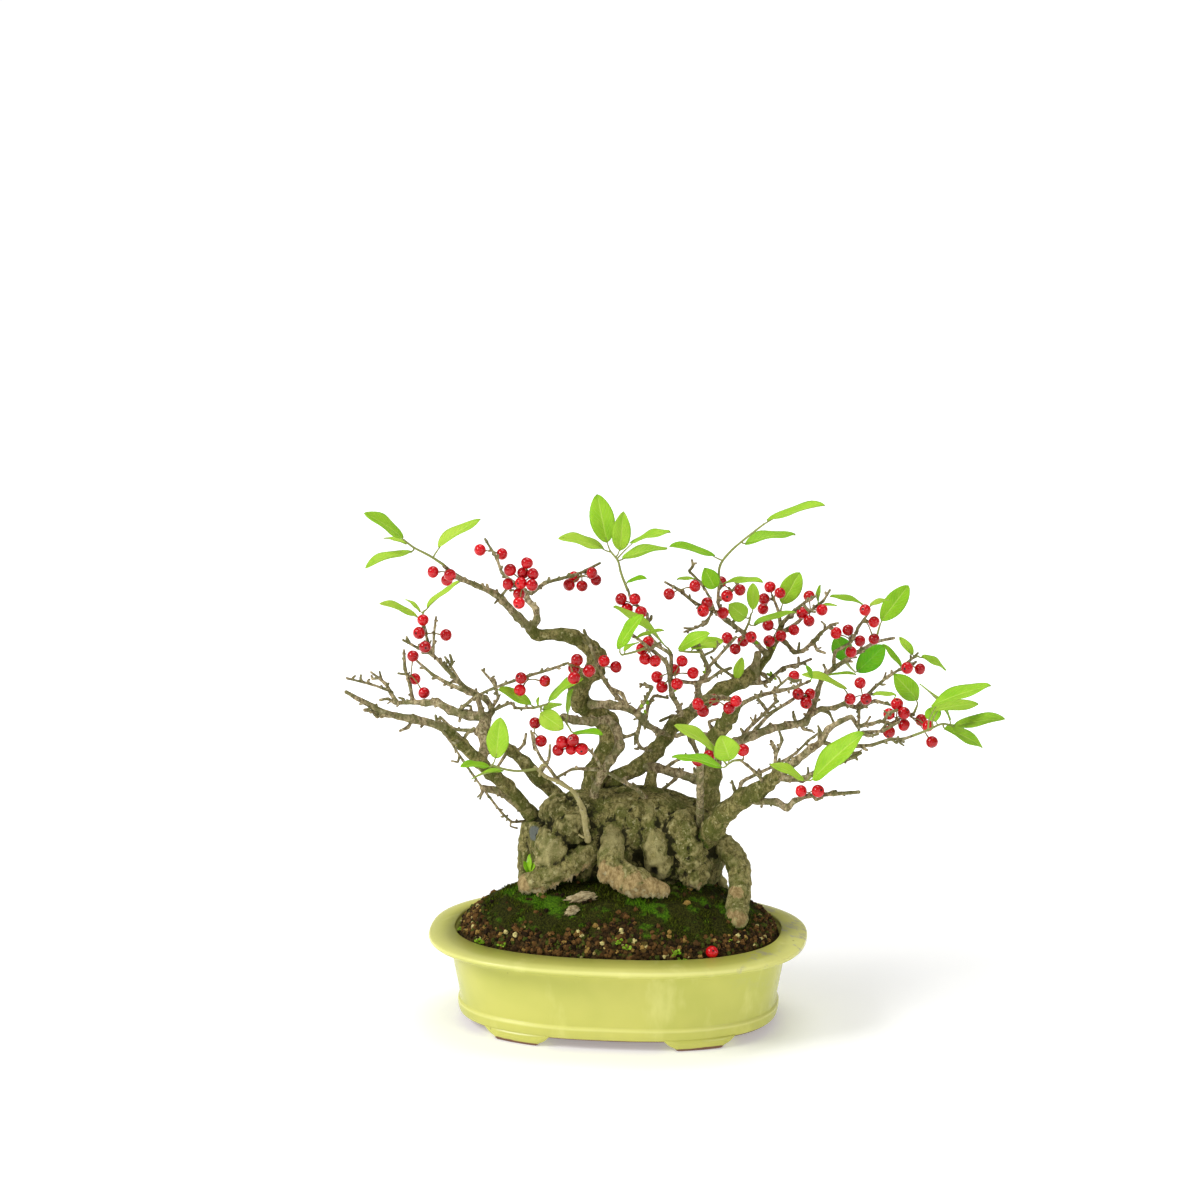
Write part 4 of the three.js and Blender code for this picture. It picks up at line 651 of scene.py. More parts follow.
def glaze_paint():
    """Yellow-green glaze with painted highlights along its edges, with runs, pits, wear at the right and bare clay
    below.
    """
    paint = Paint("glaze", 0.28, 0.45)
    flow = paint.noise(60, 4, 0.6, (1.0, 1.0, 0.35))
    body = paint.over((208, 206, 103), paint.noise(22, 3), 0.35, 0.7, (193, 195, 90))
    body = paint.over(body, flow, 0.55, 0.75, PALE_GLAZE_AND_HIGHLIGHT, 0.45)
    # Painted highlights along the lip's crest and the low ridge.
    body = paint.over(body, "edge", 0.1, 1.0, PALE_GLAZE_AND_HIGHLIGHT, 0.75)
    wear = paint.math("MULTIPLY", paint.spread(paint.noise(90, 6, 0.7), 0.52, 0.66), "wear")
    body = paint.mix(wear, body, (178, 172, 140))
    pits = paint.spread(paint.cells(170), 0.05, 0.12, 0.75, 0)
    chance = paint.spread(paint.noise(120, 2), 0.6, 0.66)
    body = paint.mix(paint.math("MULTIPLY", pits, chance), body, (120, 112, 60))
    uneven = paint.math("MULTIPLY", paint.spread(flow, 0.4, 0.7, -0.2, 0.2), "bare")
    bare = paint.math("ADD", "bare", uneven)
    return paint.done(paint.over(body, bare, 0.45, 0.6, (128, 92, 72)), paint.noise(260, 5, 0.6), 0.0002, 0.35,
                      Roughness=paint.spread(bare, 0.45, 0.6, 0.26, 0.85))


def soil_paint():
    """Dark earth under olive moss with bright patches."""
    paint = Paint("soil", 0.95, 0.1)
    grains, speckle = paint.noise(900, 6, 0.75), paint.noise(1300, 4, 0.8)
    earth = paint.over((30, 22, 10), grains, 0.38, 0.66, (96, 76, 42))
    moss = paint.over((24, 26, 6), speckle, 0.35, 0.7, (76, 78, 24))
    bright = paint.over((42, 82, 6), speckle, 0.3, 0.7, (104, 158, 26))
    green = paint.over(moss, "bright", 0.2, 0.9, bright, 0.7)
    border = paint.math("ADD", "moss", paint.spread(paint.noise(500, 5, 0.7), 0.2, 0.8, -0.45, 0.35))
    return paint.done(paint.over(earth, border, 0.4, 0.6, green), grains, 0.0012)


def grain_paint():
    """Brown grains by their tint, with a few warm, pale and olive ones."""
    paint = Paint("soil_grains", 0.9, 0.15)
    body = paint.over((34, 22, 8), "tint", 0.0, 0.85, (112, 80, 40))
    body = paint.over(body, "tint", 0.88, 0.93, (164, 132, 68))
    body = paint.over(body, "tint", 0.965, 0.98, (214, 202, 132))
    olive = paint.math("MULTIPLY", paint.spread("tint", 0.5, 0.52), paint.spread("tint", 0.66, 0.64))
    fine = paint.noise(1500, 5, 0.7)
    body = paint.over(paint.mix(olive, body, (74, 84, 26)), fine, 0.45, 0.7, (30, 22, 8), 0.65)
    return paint.done(body, fine, 0.0004)


def moss_paint():
    """Olive to bright green, by the blade's tint and its patch."""
    paint = Paint("moss", 0.85, 0.1)
    low = paint.mix("tint", (32, 38, 4), (92, 102, 22))
    high = paint.mix("tint", (44, 92, 4), (118, 176, 28))
    return paint.done(paint.over(low, "bright", 0.2, 0.9, high, 0.75))


def bark_paint(name, dark, light, reach, algae, lichen, specks, relief):
    """Bark from dark to light, with algae, lichen, calluses and moss, painted shade in crevices and hollows, and
    painted highlights on rounded folds.
    """
    paint = Paint(name, 0.85, 0.2)
    fine = paint.noise(700, 6, 0.7, (1.0, 1.0, 0.5))
    cracks = paint.noise(420, 6, 0.7, (1.0, 1.0, 0.4))
    speckle = paint.noise(1500, 4, 0.7)
    callus = paint.over((134, 112, 70), fine, 0.35, 0.7, (194, 170, 118))
    moss = paint.over((36, 50, 6), fine, 0.3, 0.7, (82, 108, 20))
    body = paint.over(dark, fine, *reach, light)
    # Layers from the lowest up: as the source passes from low to high, the colour covers up to the last share.
    for source, low, high, colour, most in (
        (paint.noise(150, 5, 0.65), 0.44, 0.58, algae, 0.75),
        ("dark", 0.2, 1.0, (58, 58, 14), 0.72),
        # Paler smooth bark, pale sticks and twigs, and painted highlight on the trunk's rounded folds.
        ("high", 0.1, 0.9, (178, 168, 114), 0.75),
        (paint.noise(380, 5, 0.65), 0.58, 0.66, lichen, 0.7),
        (speckle, 0.55, 0.66, (52, 48, 20), specks),
        (speckle, 0.4, 0.32, (200, 190, 144), 0.45),
        (paint.ragged("callus", paint.noise(240, 5, 0.7), 0.4), 0.4, 0.6, callus, 1),
        (paint.ragged("rim", paint.noise(520, 5, 0.7), 0.3), 0.5, 0.8, (206, 194, 150), 0.7),
        ("cut", 0.5, 0.8, (118, 124, 120), 0.9),
        # Painted shade in the crevices and cracks.
        (paint.ragged("deep", cracks, 0.25, 0.25, 0.75), 0.2, 0.8, (34, 33, 10), 0.92),
        (paint.ragged("mossy", paint.noise(480, 5, 0.7), 0.4), 0.45, 0.65, moss, 1),
        # Painted shadow, near black, in the hollows and under the slanting root.
        ("hollow", 0.3, 0.9, (20, 17, 8), 0.9),
    ):
        body = paint.over(body, source, low, high, colour, most)
    return paint.done(body, paint.math("ADD", cracks, paint.math("MULTIPLY", speckle, 0.5)), relief)


def leaf_paint(name, low, high, vein, under):
    """A leaf's top from low to high by its tint, with rib, side veins, pale underside, edge and fine net."""
    paint = Paint(name, 0.45, 0.2)
    patch = paint.mix("tint", (94, 166, 4), (146, 202, 24))
    body = paint.over(paint.mix("tint", low, high), paint.noise(140, 4, 0.6), 0.4, 0.7, patch, 0.5)
    across = paint.math("ABSOLUTE", "across", 0.0)
    slant = paint.math("SUBTRACT", paint.math("MULTIPLY", "along", 9.0), paint.math("MULTIPLY", across, 3.2))
    wave = paint.math("ABSOLUTE", paint.math("SUBTRACT", paint.math("FRACT", slant, 0.0), 0.5), 0.0)
    body = paint.mix(paint.spread(wave, 0.0, 0.1, 0.35, 0), body, vein)
    body = paint.mix(paint.spread(across, 0.02, 0.09, 0.5, 0), body, vein)
    body = paint.over(paint.mix("under", body, under), across, 0.86, 1.0, (104, 152, 12), 0.35)
    veins = paint.math("ADD", paint.spread(wave, 0.0, 0.14, 0.0, 0.6), paint.spread(across, 0.0, 0.1, 0.0, 0.6))
    height = paint.math("ADD", veins, paint.math("MULTIPLY", paint.cells(2200), 0.25))
    return paint.done(body, height, 0.00025, 0.8, Subsurface_Weight=0.12, Subsurface_Radius=(0.3, 0.6, 0.1),
                      Subsurface_Scale=0.001)


def berry_paint():
    """Glossy red skin with pale flecks and a dark stigma."""
    paint = Paint("berry", 0.16, 0.3)
    skin = paint.mix("tint", (156, 0, 8), (212, 4, 20))
    skin = paint.over(skin, paint.noise(260, 4, 0.6), 0.45, 0.7, (232, 22, 38), 0.4)
    skin = paint.over(skin, paint.noise(2600, 3, 0.6), 0.62, 0.7, (236, 96, 90), 0.25)
    stigma = paint.spread("apex", 0.97, 0.988)
    return paint.done(paint.mix(stigma, skin, (48, 20, 14)), Roughness=paint.spread(stigma, 0.0, 1.0, 0.2, 0.8),
                      Coat_Weight=0.3, Coat_Roughness=0.12)


def wood_paint():
    """Pale old wood with its grain along the flake."""
    paint = Paint("old_wood", 0.85, 0.25)
    grain = paint.noise(700, 6, 0.7, (0.4, 1.0, 1.0))
    return paint.done(paint.over((120, 100, 64), grain, 0.3, 0.7, (206, 192, 150)), paint.noise(1100, 5), 0.0004, 0.8)


def plain_paint(name, specular, scale, low, high):
    """A plain matt surface that varies between two colours."""
    paint = Paint(name, 0.6, specular)
    return paint.done(paint.mix(paint.noise(scale, 4), low, high))


GLAZE, SOIL, GRAINS, MOSS = glaze_paint(), soil_paint(), grain_paint(), moss_paint()
OLD_BARK = bark_paint("old_bark", (84, 80, 36), (164, 154, 96), (0.36, 0.66), (82, 90, 28), (196, 188, 134), 0.6,
                      0.0009)
YOUNG_BARK = bark_paint("young_bark", (100, 86, 58), (190, 174, 134), (0.38, 0.64), (104, 106, 60),
                        (192, 184, 150), 0.35, 0.0005)
LEAF = leaf_paint("leaf", (128, 192, 0), (184, 214, 70), (204, 230, 104), (148, 170, 54))
DARK_LEAF = leaf_paint("leaf_dark", (70, 160, 6), (102, 190, 20), (140, 206, 66), (106, 142, 40))
SHOOT = plain_paint("green_shoot", 0.35, 300, (118, 132, 60), (158, 160, 92))
STALK = plain_paint("berry_stalk", 0.35, 500, (122, 116, 62), (150, 132, 84))
NET = plain_paint("net", 0.3, 500, (64, 68, 62), (84, 88, 80))
BERRY, OLD_WOOD = berry_paint(), wood_paint()


# Pot

def oval_xy(inset, angles):
    """Points of the pot's oval at an inset from the rim's outer edge."""
    radius = RIM_LENGTH / 2 - inset
    depth = radius - (RIM_LENGTH - RIM_DEPTH) / 2
    c, s = np.cos(angles), np.sin(angles)
    power = 2 / POT_SQUARENESS
    return np.stack([radius * np.sign(c) * np.abs(c) ** power, depth * np.sign(s) * np.abs(s) ** power], 1)


def even_angles(count, inset=6.0):
    """Angles that space points evenly along the oval."""
    fine = np.linspace(0, 2 * math.pi, 4000)
    ring = oval_xy(inset, fine)
    length = np.concatenate([[0], np.cumsum(np.linalg.norm(np.diff(ring, axis=0), axis=1))])
    return np.interp(np.linspace(0, length[-1], count, endpoint=False), length, fine)


def rounded_profile(corners, pace=1.0, softness=0.35):
    """The profile with its corners softened, in short steps."""
    corners = np.asarray(corners, float)
    out = [corners[0]]
    for i in range(1, len(corners) - 1):
        before, here, after = corners[i - 1:i + 2]
        a = here + (before - here) * min(softness, 1.0 / max(np.linalg.norm(before - here), 1e-6))
        b = here + (after - here) * min(softness, 1.0 / max(np.linalg.norm(after - here), 1e-6))
        for t in (0, 0.25, 0.5, 0.75, 1):
            out.append((1 - t)**2 * a + 2 * t * (1 - t) * here + t**2 * b)
    out.append(corners[-1])
    fine = [out[0]]
    for here, there in zip(out, out[1:]):
        count = max(1, int(np.linalg.norm(there - here) / pace))
        fine += [here + (there - here) * (k + 1) / count for k in range(count)]
    return np.array(fine)


def make_pot():
    """The pot's wall and lip, with painted highlights along its edges, the bare clay and the wear as values."""
    build = Build()
    angles = even_angles(POT_ANGLES)
    profile = np.vstack([rounded_profile(POT_OUTSIDE), rounded_profile(POT_INSIDE[::-1])])
    rings, edge, bare, wear = [], [], [], []
    for inset, z in profile:
        ring = oval_xy(inset, angles)
        rings.append(np.column_stack([ring, np.full(len(ring), z)]))
        # The edge value is painted highlight along the lip's crest and the low ridge.
        lip, band = [math.exp(-((z - height) / reach) ** 2) for height, reach in (LIP_HIGHLIGHT, BAND_HIGHLIGHT)]
        edge.append(np.full(len(ring), max(lip if inset < LIP_INSET else 0.0, band if inset < WALL_INSET else 0.0)))
        clay = z < BARE_HEIGHT or (inset > WALL_INSET and z < BARE_INSIDE)
        bare.append(np.full(len(ring), 1.0 if clay else 0.0))
        right = np.clip((ring[:, 0] - WEAR_FROM) / WEAR_REACH, 0, 1)
        wear.append(right * (1.0 if z > WEAR_HEIGHT else WEAR_BELOW))
    points = np.vstack(rings)
    wobble = np.array([noise.noise(Vector(p * 0.03)) for p in points])
    points[:, :2] += unit(points * np.array([1, 1, 0]))[:, :2] * (wobble * POT_WOBBLE)[:, None]
    build.add(points, grid_faces(len(profile), len(angles), True), edge=np.concatenate(edge),
              bare=np.concatenate(bare), wear=np.concatenate(wear))
    return build, angles


def foot(build, side, front):
    """One cloud-shaped foot, curved along the base, thin towards its ends."""
    across = np.linspace(-FOOT_LENGTH / 2, FOOT_LENGTH / 2, FOOT_STEPS)
    share = np.abs(across) / (FOOT_LENGTH / 2)
    lift = np.interp(share, FOOT_RISE_AT, FOOT_RISE)
    rows, bare = [], []
    for x, z0 in zip(side * FOOT_MIDDLE + across, lift):
        section = []
        for inset, z in FOOT_SECTION:
            radius = RIM_LENGTH / 2 - inset
            depth = radius - (RIM_LENGTH - RIM_DEPTH) / 2
            y = depth * (1 - abs(x / radius) ** POT_SQUARENESS) ** (1 / POT_SQUARENESS)
            height = z0 + (FOOT_HEIGHT + 1 - z0) * z
            section.append((x, front * y, height))
            bare.append(max(0.0, 1 - (height - BARE_FOOT) / BARE_FOOT_REACH))
        rows.append(section)
    points = np.array(rows).reshape(-1, 3)
    faces = grid_faces(len(rows), len(FOOT_SECTION), True)
    corners = range(len(FOOT_SECTION))
    ends = [tuple(corners)[::-1], tuple((len(rows) - 1) * len(FOOT_SECTION) + k for k in corners)]
    build.add(points, faces + ends, bare=np.array(bare))


def corner_values(mesh, name):
    """A row of three numbers for each vertex of a mesh, such as its place."""
    values = np.empty(len(mesh.vertices) * 3)
    mesh.vertices.foreach_get(name, values)
    return values.reshape(-1, 3)


def evaluated(build, modifiers):
    """The build's vertices and faces after the given modifiers, in mm."""
    mesh = mesh_of("working", np.vstack(build.points), build)
    holder = put("working", mesh)
    for kind, settings in modifiers:
        modifier = holder.modifiers.new(kind, kind)
        for key, value in settings.items():
            setattr(modifier, key, value)
    shape = holder.evaluated_get(bpy.context.evaluated_depsgraph_get()).to_mesh()
    points, normals = corner_values(shape, "co"), corner_values(shape, "normal")
    faces = [tuple(polygon.vertices) for polygon in shape.polygons]
    bpy.data.objects.remove(holder)
    bpy.data.meshes.remove(mesh)
    return points, faces, normals


def hollowness(points, faces, normals, rounds):
    """How far each vertex lies below its evened-out surroundings, in mm."""
    rings = np.array([face for face in faces if len(face) == 4])
    first, second = rings.ravel(), np.roll(rings, -1, axis=1).ravel()
    share = np.maximum(np.bincount(first, minlength=len(points)) + np.bincount(second, minlength=len(points)), 1)
    even = points.copy()
    for _ in range(rounds):
        for axis in range(3):
            total = np.bincount(first, even[second, axis], len(points))
            total += np.bincount(second, even[first, axis], len(points))
            even[:, axis] = 0.4 * even[:, axis] + 0.6 * total / share
    return ((even - points) * normals).sum(axis=1)


pot_build, pot_angles = make_pot()


def base_plate(build, inset, z, bare):
    """The pot's underside or floor: rings of faces, with those over the two drain holes left out."""
    outer = oval_xy(inset, pot_angles)
    count = len(outer)
    shares = np.linspace(1, 0, PLATE_RINGS)[:-1]
    points = np.vstack([np.column_stack([outer * share, np.full(count, z)]) for share in shares] + [[[0, 0, z]]])
    faces = grid_faces(len(shares), count, True) + fan((len(shares) - 1) * count, count, len(points) - 1)
    middle = np.array([points[list(face)].mean(axis=0) for face in faces])
    away = np.min([np.hypot(middle[:, 0] - side * DRAIN_OFFSET, middle[:, 1]) for side in (-1, 1)], axis=0)
    for side in (-1, 1):
        centre = np.array([side * DRAIN_OFFSET, 0])
        near = np.hypot(*(points[:, :2] - centre).T)
        rim = np.abs(near - DRAIN_RADIUS) < DRAIN_REACH
        points[rim, :2] = unit(points[rim, :2] - centre) * DRAIN_RADIUS + centre
    faces = [face for face, gap in zip(faces, away) if gap > DRAIN_RADIUS - DRAIN_MARGIN]
    build.add(points, faces, bare=bare)


base_plate(pot_build, POT_OUTSIDE[0][0], FOOT_HEIGHT, 1.0)
base_plate(pot_build, POT_INSIDE[0][0], FLOOR_HEIGHT, 0.6)
turn = np.linspace(0, 2 * math.pi, DRAIN_SIDES, endpoint=False)
for side in (-1, 1):
    hole = [side * DRAIN_OFFSET + DRAIN_RADIUS * np.cos(turn), DRAIN_RADIUS * np.sin(turn)]
    walls = np.vstack([np.column_stack([*hole, np.full(DRAIN_SIDES, z)]) for z in (FOOT_HEIGHT, FLOOR_HEIGHT)])
    pot_build.add(walls, grid_faces(2, DRAIN_SIDES, True), bare=1.0)
    for front in (-1, 1):
        foot(pot_build, side, front)
make("glazed_pot", pot_build, GLAZE, ["pot"])


# Soil, grains and moss

def out_share(x, y):
    """How far out on the soil a place lies, from 0 in the middle to 1 at the wall."""
    length = RIM_LENGTH / 2 - OPENING_INSET - GAP
    depth = RIM_DEPTH / 2 - OPENING_INSET - GAP
    return (np.abs(x / length) ** POT_SQUARENESS + np.abs(y / depth) ** POT_SQUARENESS) ** (1 / POT_SQUARENESS)


def mound_height(x, y):
    """The soil's height: a mound with broad and narrow unevenness that ends at the wall."""
    out = np.minimum(1, out_share(x, y))
    broad = 0.7 * np.sin(0.21 * x + 0.4) * np.sin(0.27 * y + 1.1)
    narrow = 0.4 * np.sin(0.43 * x - 0.31 * y)
    return SOIL_EDGE + MOUND_HEIGHT * (1 - out ** MOUND_ROUNDNESS) ** MOUND_SHOULDER + (broad + narrow) * (1 - out)


def resting(across, down, height):
    """Where the line of sight first comes within `height` of the soil."""
    for back in np.arange(*SOIL_DEPTHS, 0.1):
        point = seen(across, down, back)
        if point[2] - mound_height(point[0], point[1]) <= height:
            return point
    return point


def cloud(points, scale, seed=0.0):
    """Smooth noise at the points."""
    return np.array([noise.noise(Vector((p[0] * scale + seed, p[1] * scale - seed, p[2] * scale))) for p in points])


def moss_cover(x, y):
    """How mossy the soil is at a place: bare at the front edge and at the far left, green over the mound."""
    out = out_share(x, y)
    cover = 1 - np.clip((out - 0.85) / 0.11, 0, 1)
    front = np.clip((-y - 31 + 3 * np.sin(0.13 * x + 1) + 2 * np.sin(0.31 * x)) / 9, 0, 1)
    left = np.clip((-x - 56 - 0.3 * y) / 10, 0, 1)
    return cover * (1 - 0.9 * front) * (1 - 0.6 * left)


def brightness(points):
    """How fresh the moss is: bright in scattered patches, olive elsewhere."""
    share = 0.5 * cloud(points, 0.11, 5.5) + 0.8 * cloud(points, 0.34, 2.5) + 0.5 * cloud(points, 0.9, 7.5) + 0.03
    for across, down, reach in BRIGHT_MOSS:
        away = np.linalg.norm(points - resting(across, down, 0), axis=1)
        share = share + 0.75 * np.clip(1.3 - away / reach, 0, 1)
    return np.clip(share, 0, 1)


def soil_build():
    """The mound down to the wall, and the soil's side and underside inside the pot."""
    build = Build()
    angles = even_angles(POT_ANGLES, OPENING_INSET + GAP)
    count = len(angles)
    # Rings as shares of the way out to the wall, closest together at the wall.
    shares = np.concatenate([np.linspace(1, 0.9, 10), np.linspace(0.89, 0.02, 86)])
    base = oval_xy(OPENING_INSET + GAP, angles)
    flat = np.vstack([base * share for share in shares] + [[[0, 0]]])
    points = np.column_stack([flat, mound_height(*flat.T)])
    rough = cloud(points, 0.16, 3.1) * 0.9 + cloud(points, 0.5, 9.7) * 0.55 + cloud(points, 1.4, 1.3) * 0.3
    inner = np.clip((1 - out_share(*flat.T)) / SOIL_FRINGE, 0, 1)
    points[:, 2] += rough * inner - 0.35 * (1 - inner)
    faces = grid_faces(len(shares), count, True) + fan((len(shares) - 1) * count, count, len(points) - 1)
    build.add(points, faces, moss=moss_cover(*flat.T), bright=brightness(points))
    rings = [np.column_stack([oval_xy(inset, angles), np.full(count, z)]) for inset, z in SOIL_WALL]
    build.add(np.vstack(rings), grid_faces(len(rings), count, True))
    build.add(np.vstack([rings[-1], [[0, 0, SOIL_WALL[-1][1]]]]), fan(0, count, count))
    return build


make("soil_mound", soil_build(), SOIL, ["soil"])


def icosphere(divisions):
    """The vertices and faces of a unit ball."""
    work = bmesh.new()
    bmesh.ops.create_icosphere(work, subdivisions=divisions, radius=1)
    points = np.array([v.co[:] for v in work.verts])
    faces = [tuple(v.index for v in face.verts) for face in work.faces]
    work.free()
    return points, faces


def random_turn(draw):
    """The matrix of a random rotation."""
    axis = unit(draw.normal(size=4)[:3])
    return np.array(Matrix.Rotation(draw.uniform(0, 6.28), 3, Vector(axis)))


def grains_build():
    """Soil grains: lumpy pebbles, close together along the front and the left, few in the moss."""
    draw = np.random.default_rng(GRAIN_SEED)
    build = Build()
    ball, faces = icosphere(2)
    length, depth = RIM_LENGTH / 2 - OPENING_INSET - 1.2, RIM_DEPTH / 2 - OPENING_INSET - 1.2
    placed = 0
    while placed < GRAIN_COUNT:
        x, y = draw.uniform(-length, length), draw.uniform(-depth, depth)
        if out_share(x, y) > GRAIN_REACH:
            continue
        if draw.random() > GRAINS_IN_MOSS + 0.985 * (1 - moss_cover(x, y)):
            continue
        size = draw.uniform(0.6, 1.2) * (1.3 if draw.random() < LARGE_GRAINS else 1)
        points = ball * (1 + draw.uniform(-GRAIN_LUMPS, GRAIN_LUMPS, (len(ball), 1)))
        points = points * size * draw.uniform(0.7, 1.1, 3)
        points = points @ random_turn(draw).T
        z = mound_height(x, y) + size * draw.uniform(0.05, 0.5)
        build.add(points + [x, y, z], faces, tint=draw.random())
        placed += 1
    return build


make("soil_grains", grains_build(), GRAINS, [], smooth=False)


def moss_build():
    """Small moss shoots over the mound, a blade each."""
    draw = np.random.default_rng(MOSS_SEED)
    length, depth = RIM_LENGTH / 2 - OPENING_INSET - 2, RIM_DEPTH / 2 - OPENING_INSET - 2
    xs, ys = draw.uniform(-length, length, MOSS_TRIES), draw.uniform(-depth, depth, MOSS_TRIES)
    keep = (draw.random(MOSS_TRIES) < 0.2 + moss_cover(xs, ys) * 0.7) & (out_share(xs, ys) < MOSS_REACH)
    spots = np.column_stack([xs, ys, mound_height(xs, ys)])[keep]
    bright = brightness(spots)
    grow = np.clip(cloud(spots, 0.12, 8.0) * 1.5 + 0.6, 0.15, 1.2)
    points, faces, tints = [], [], []
    for spot, tall in zip(spots, grow):
        angle = draw.uniform(0, 6.28)
        lean = draw.uniform(0.1, 0.9)
        high = tall * draw.uniform(0.5, 1.5)
        side = np.array([math.cos(angle), math.sin(angle), 0]) * draw.uniform(0.12, 0.24)
        tip = np.array([math.sin(angle) * lean, -math.cos(angle) * lean, 1]) * high
        root = spot - [0, 0, 0.25]
        a, b, c, d, e = range(len(points), len(points) + 5)
        points += [root - side, root + side, root + tip * 0.6 + side * 0.8, root + tip, root + tip * 0.6 - side * 0.8]
        faces += [(a, b, c, e), (e, c, d)]
        tints.append(draw.random())
    build = Build()
    build.add(np.array(points), faces, tint=np.repeat(tints, 5), bright=np.repeat(bright, 5))
    return build


make("moss", moss_build(), MOSS, [])


# Trunk, roots and limbs

def trunk_points(directions):
    """The trunk's rounded box with its lumps, in the given directions."""
    powers = (np.abs(directions / TRUNK_HALF) ** TRUNK_BOXINESS).sum(axis=1)
    out = turned(directions, SIGHT_TURN)
    points = out * (powers ** (-1 / TRUNK_BOXINESS))[:, None] + TRUNK_CENTRE
    swell = 0.6 * np.sin(0.45 * points[:, 0] + 0.3 * points[:, 2]) * np.sin(0.37 * points[:, 2] + 0.5 * points[:, 1])
    for across, down, back, reach, height in TRUNK_LUMPS:
        away = ((points - seen(across, down, back)) ** 2).sum(axis=1)
        swell += height * np.exp(-away / reach ** 2)
    return points + out * swell[:, None]


def limb_radii(row):
    """Radii of a limb: knots at the points between its ends, by the CAD's own draws from its first point."""
    start, end, flat = row
    state = 1 + round(flat[0] * 7 + flat[1] * 13)
    count = len(flat) // 3
    radii = []
    for i in range(count):
        knot = 1.0
        if 0 < i < count - 1:
            state = state * 16807 % DRAW_LIMIT
            knot = 0.94 + 0.16 * state / DRAW_LIMIT
        width = start + (end - start) * i / (count - 1)
        radii.append(max(THIN_LIMB, width * STEP * knot / 2))
    return np.array(radii)


def near_any(points, places):
    """How close points come to any of the given places (across, down, back, reach), from 0 to 1."""
    share = np.zeros(len(points))
    for across, down, back, reach in places:
        away = np.linalg.norm(points - seen(across, down, back), axis=1)
        share = np.maximum(share, np.clip(1.4 - away / reach, 0, 1))
    return share


def trunk_build():
    """Trunk, roots and the feet of the limbs as one skin, then its bark: ridges, creases, knobs and hollows."""
    rough = Build()
    directions, faces = icosphere(6)
    rough.add(trunk_points(directions), faces)
    for row in ROOTS:
        tube(rough, seen_route(row[2]), limb_radii(row), 18, 1.2, 0.26, seed=row[2][0])
    for row in LIMBS:
        if row[0] >= STOUT:
            flat = row[2][:9]
            tube(rough, seen_route(flat), limb_radii(row)[:3] * [1.2, 1.0, 0.9], 16, 1.2, 0.1, seed=row[2][0])
    skin = ("REMESH", {"mode": "VOXEL", "voxel_size": TRUNK_MESH})
    smoothing = ("SMOOTH", {"factor": 0.5, "iterations": 2})
    points, faces, normals = evaluated(rough, [skin, smoothing])
    # The hollows are dented, and painted dark as their shade.
    callus, hollow = near_any(points, CALLUSES), near_any(points, HOLLOWS)
    burl, even = near_any(points, BURLS), near_any(points, SMOOTH_BARK)
    ridges = np.array([abs(noise.noise(Vector((p[0] * 0.24, p[1] * 0.24 + 7, p[2] * 0.09)))) for p in points])
    creases = np.array([abs(noise.noise(Vector((p[0] * 0.6, p[1] * 0.6 + 3, p[2] * 0.3)))) for p in points])
    knobs = np.maximum(cloud(points, 0.42), 0) + 0.5 * np.maximum(cloud(points, 0.95, 3.3), 0)
    rugged = 1 - 0.7 * np.clip(np.maximum(callus, even), 0, 1)
    valley = np.exp(-(ridges / 0.06) ** 2)
    crease = np.exp(-(creases / 0.09) ** 2)
    lift = (0.4 * cloud(points, 0.2, 4.0) - 0.38 * valley - 0.17 * crease + 0.2 * cloud(points, 0.5, 2.2)) * rugged
    lift += 0.14 * cloud(points, 1.3, 6.1) + burl * (2.2 * knobs - 0.5) + 0.4 * callus - 1.0 * hollow
    points = points + normals * lift[:, None]
    under = np.clip(0.3 - normals[:, 2], 0, 1) * np.clip(callus, 0, 1)
    points[:, 2] -= under * np.maximum(cloud(points, 0.9, 1.7) + 0.15, 0) * 3.5
    # How hollow the skin is, broadly and finely: painted shade goes into the crevices, painted highlight onto the
    # rounded folds.
    broad, fine = [hollowness(points, faces, normals, rounds) for rounds in (BROAD_ROUNDS, FINE_ROUNDS)]
    above = points[:, 2] - mound_height(points[:, 0], points[:, 1])
    build = Build()
    # The high value lightens smooth bark and, as painted highlight, the rounded folds.
    build.add(points, faces, callus=callus, hollow=hollow, mossy=np.clip(1 - above / 4.0, 0, 1) * 0.8,
              rim=under, cut=near_any(points, CUT_PATCH), deep=np.clip(broad * 0.9 + fine * 1.3, 0, 1),
              high=np.clip(0.35 * even - 0.5 * broad - fine * 0.25, 0, 1),
              dark=np.clip(near_any(points, BURLS[:4]) * 1.3, 0, 1))
    return build


make("trunk_and_roots", trunk_build(), OLD_BARK, ["tree"])


LIMB_LINES = [smooth_route(seen_route(row[2]), limb_radii(row), LIMB_PACE, LIMB_EASE)[0] for row in LIMBS]


def nearest_on(route, point):
    """The place on a route that is nearest to a point, and how far away it is."""
    a, b = route[:-1], route[1:]
    along = b - a
    share = np.clip(((point - a) * along).sum(axis=1) / np.maximum((along ** 2).sum(axis=1), 1e-9), 0, 1)
    places = a + along * share[:, None]
    away = np.linalg.norm(places - point, axis=1)
    best = int(np.argmin(away))
    return places[best], away[best]


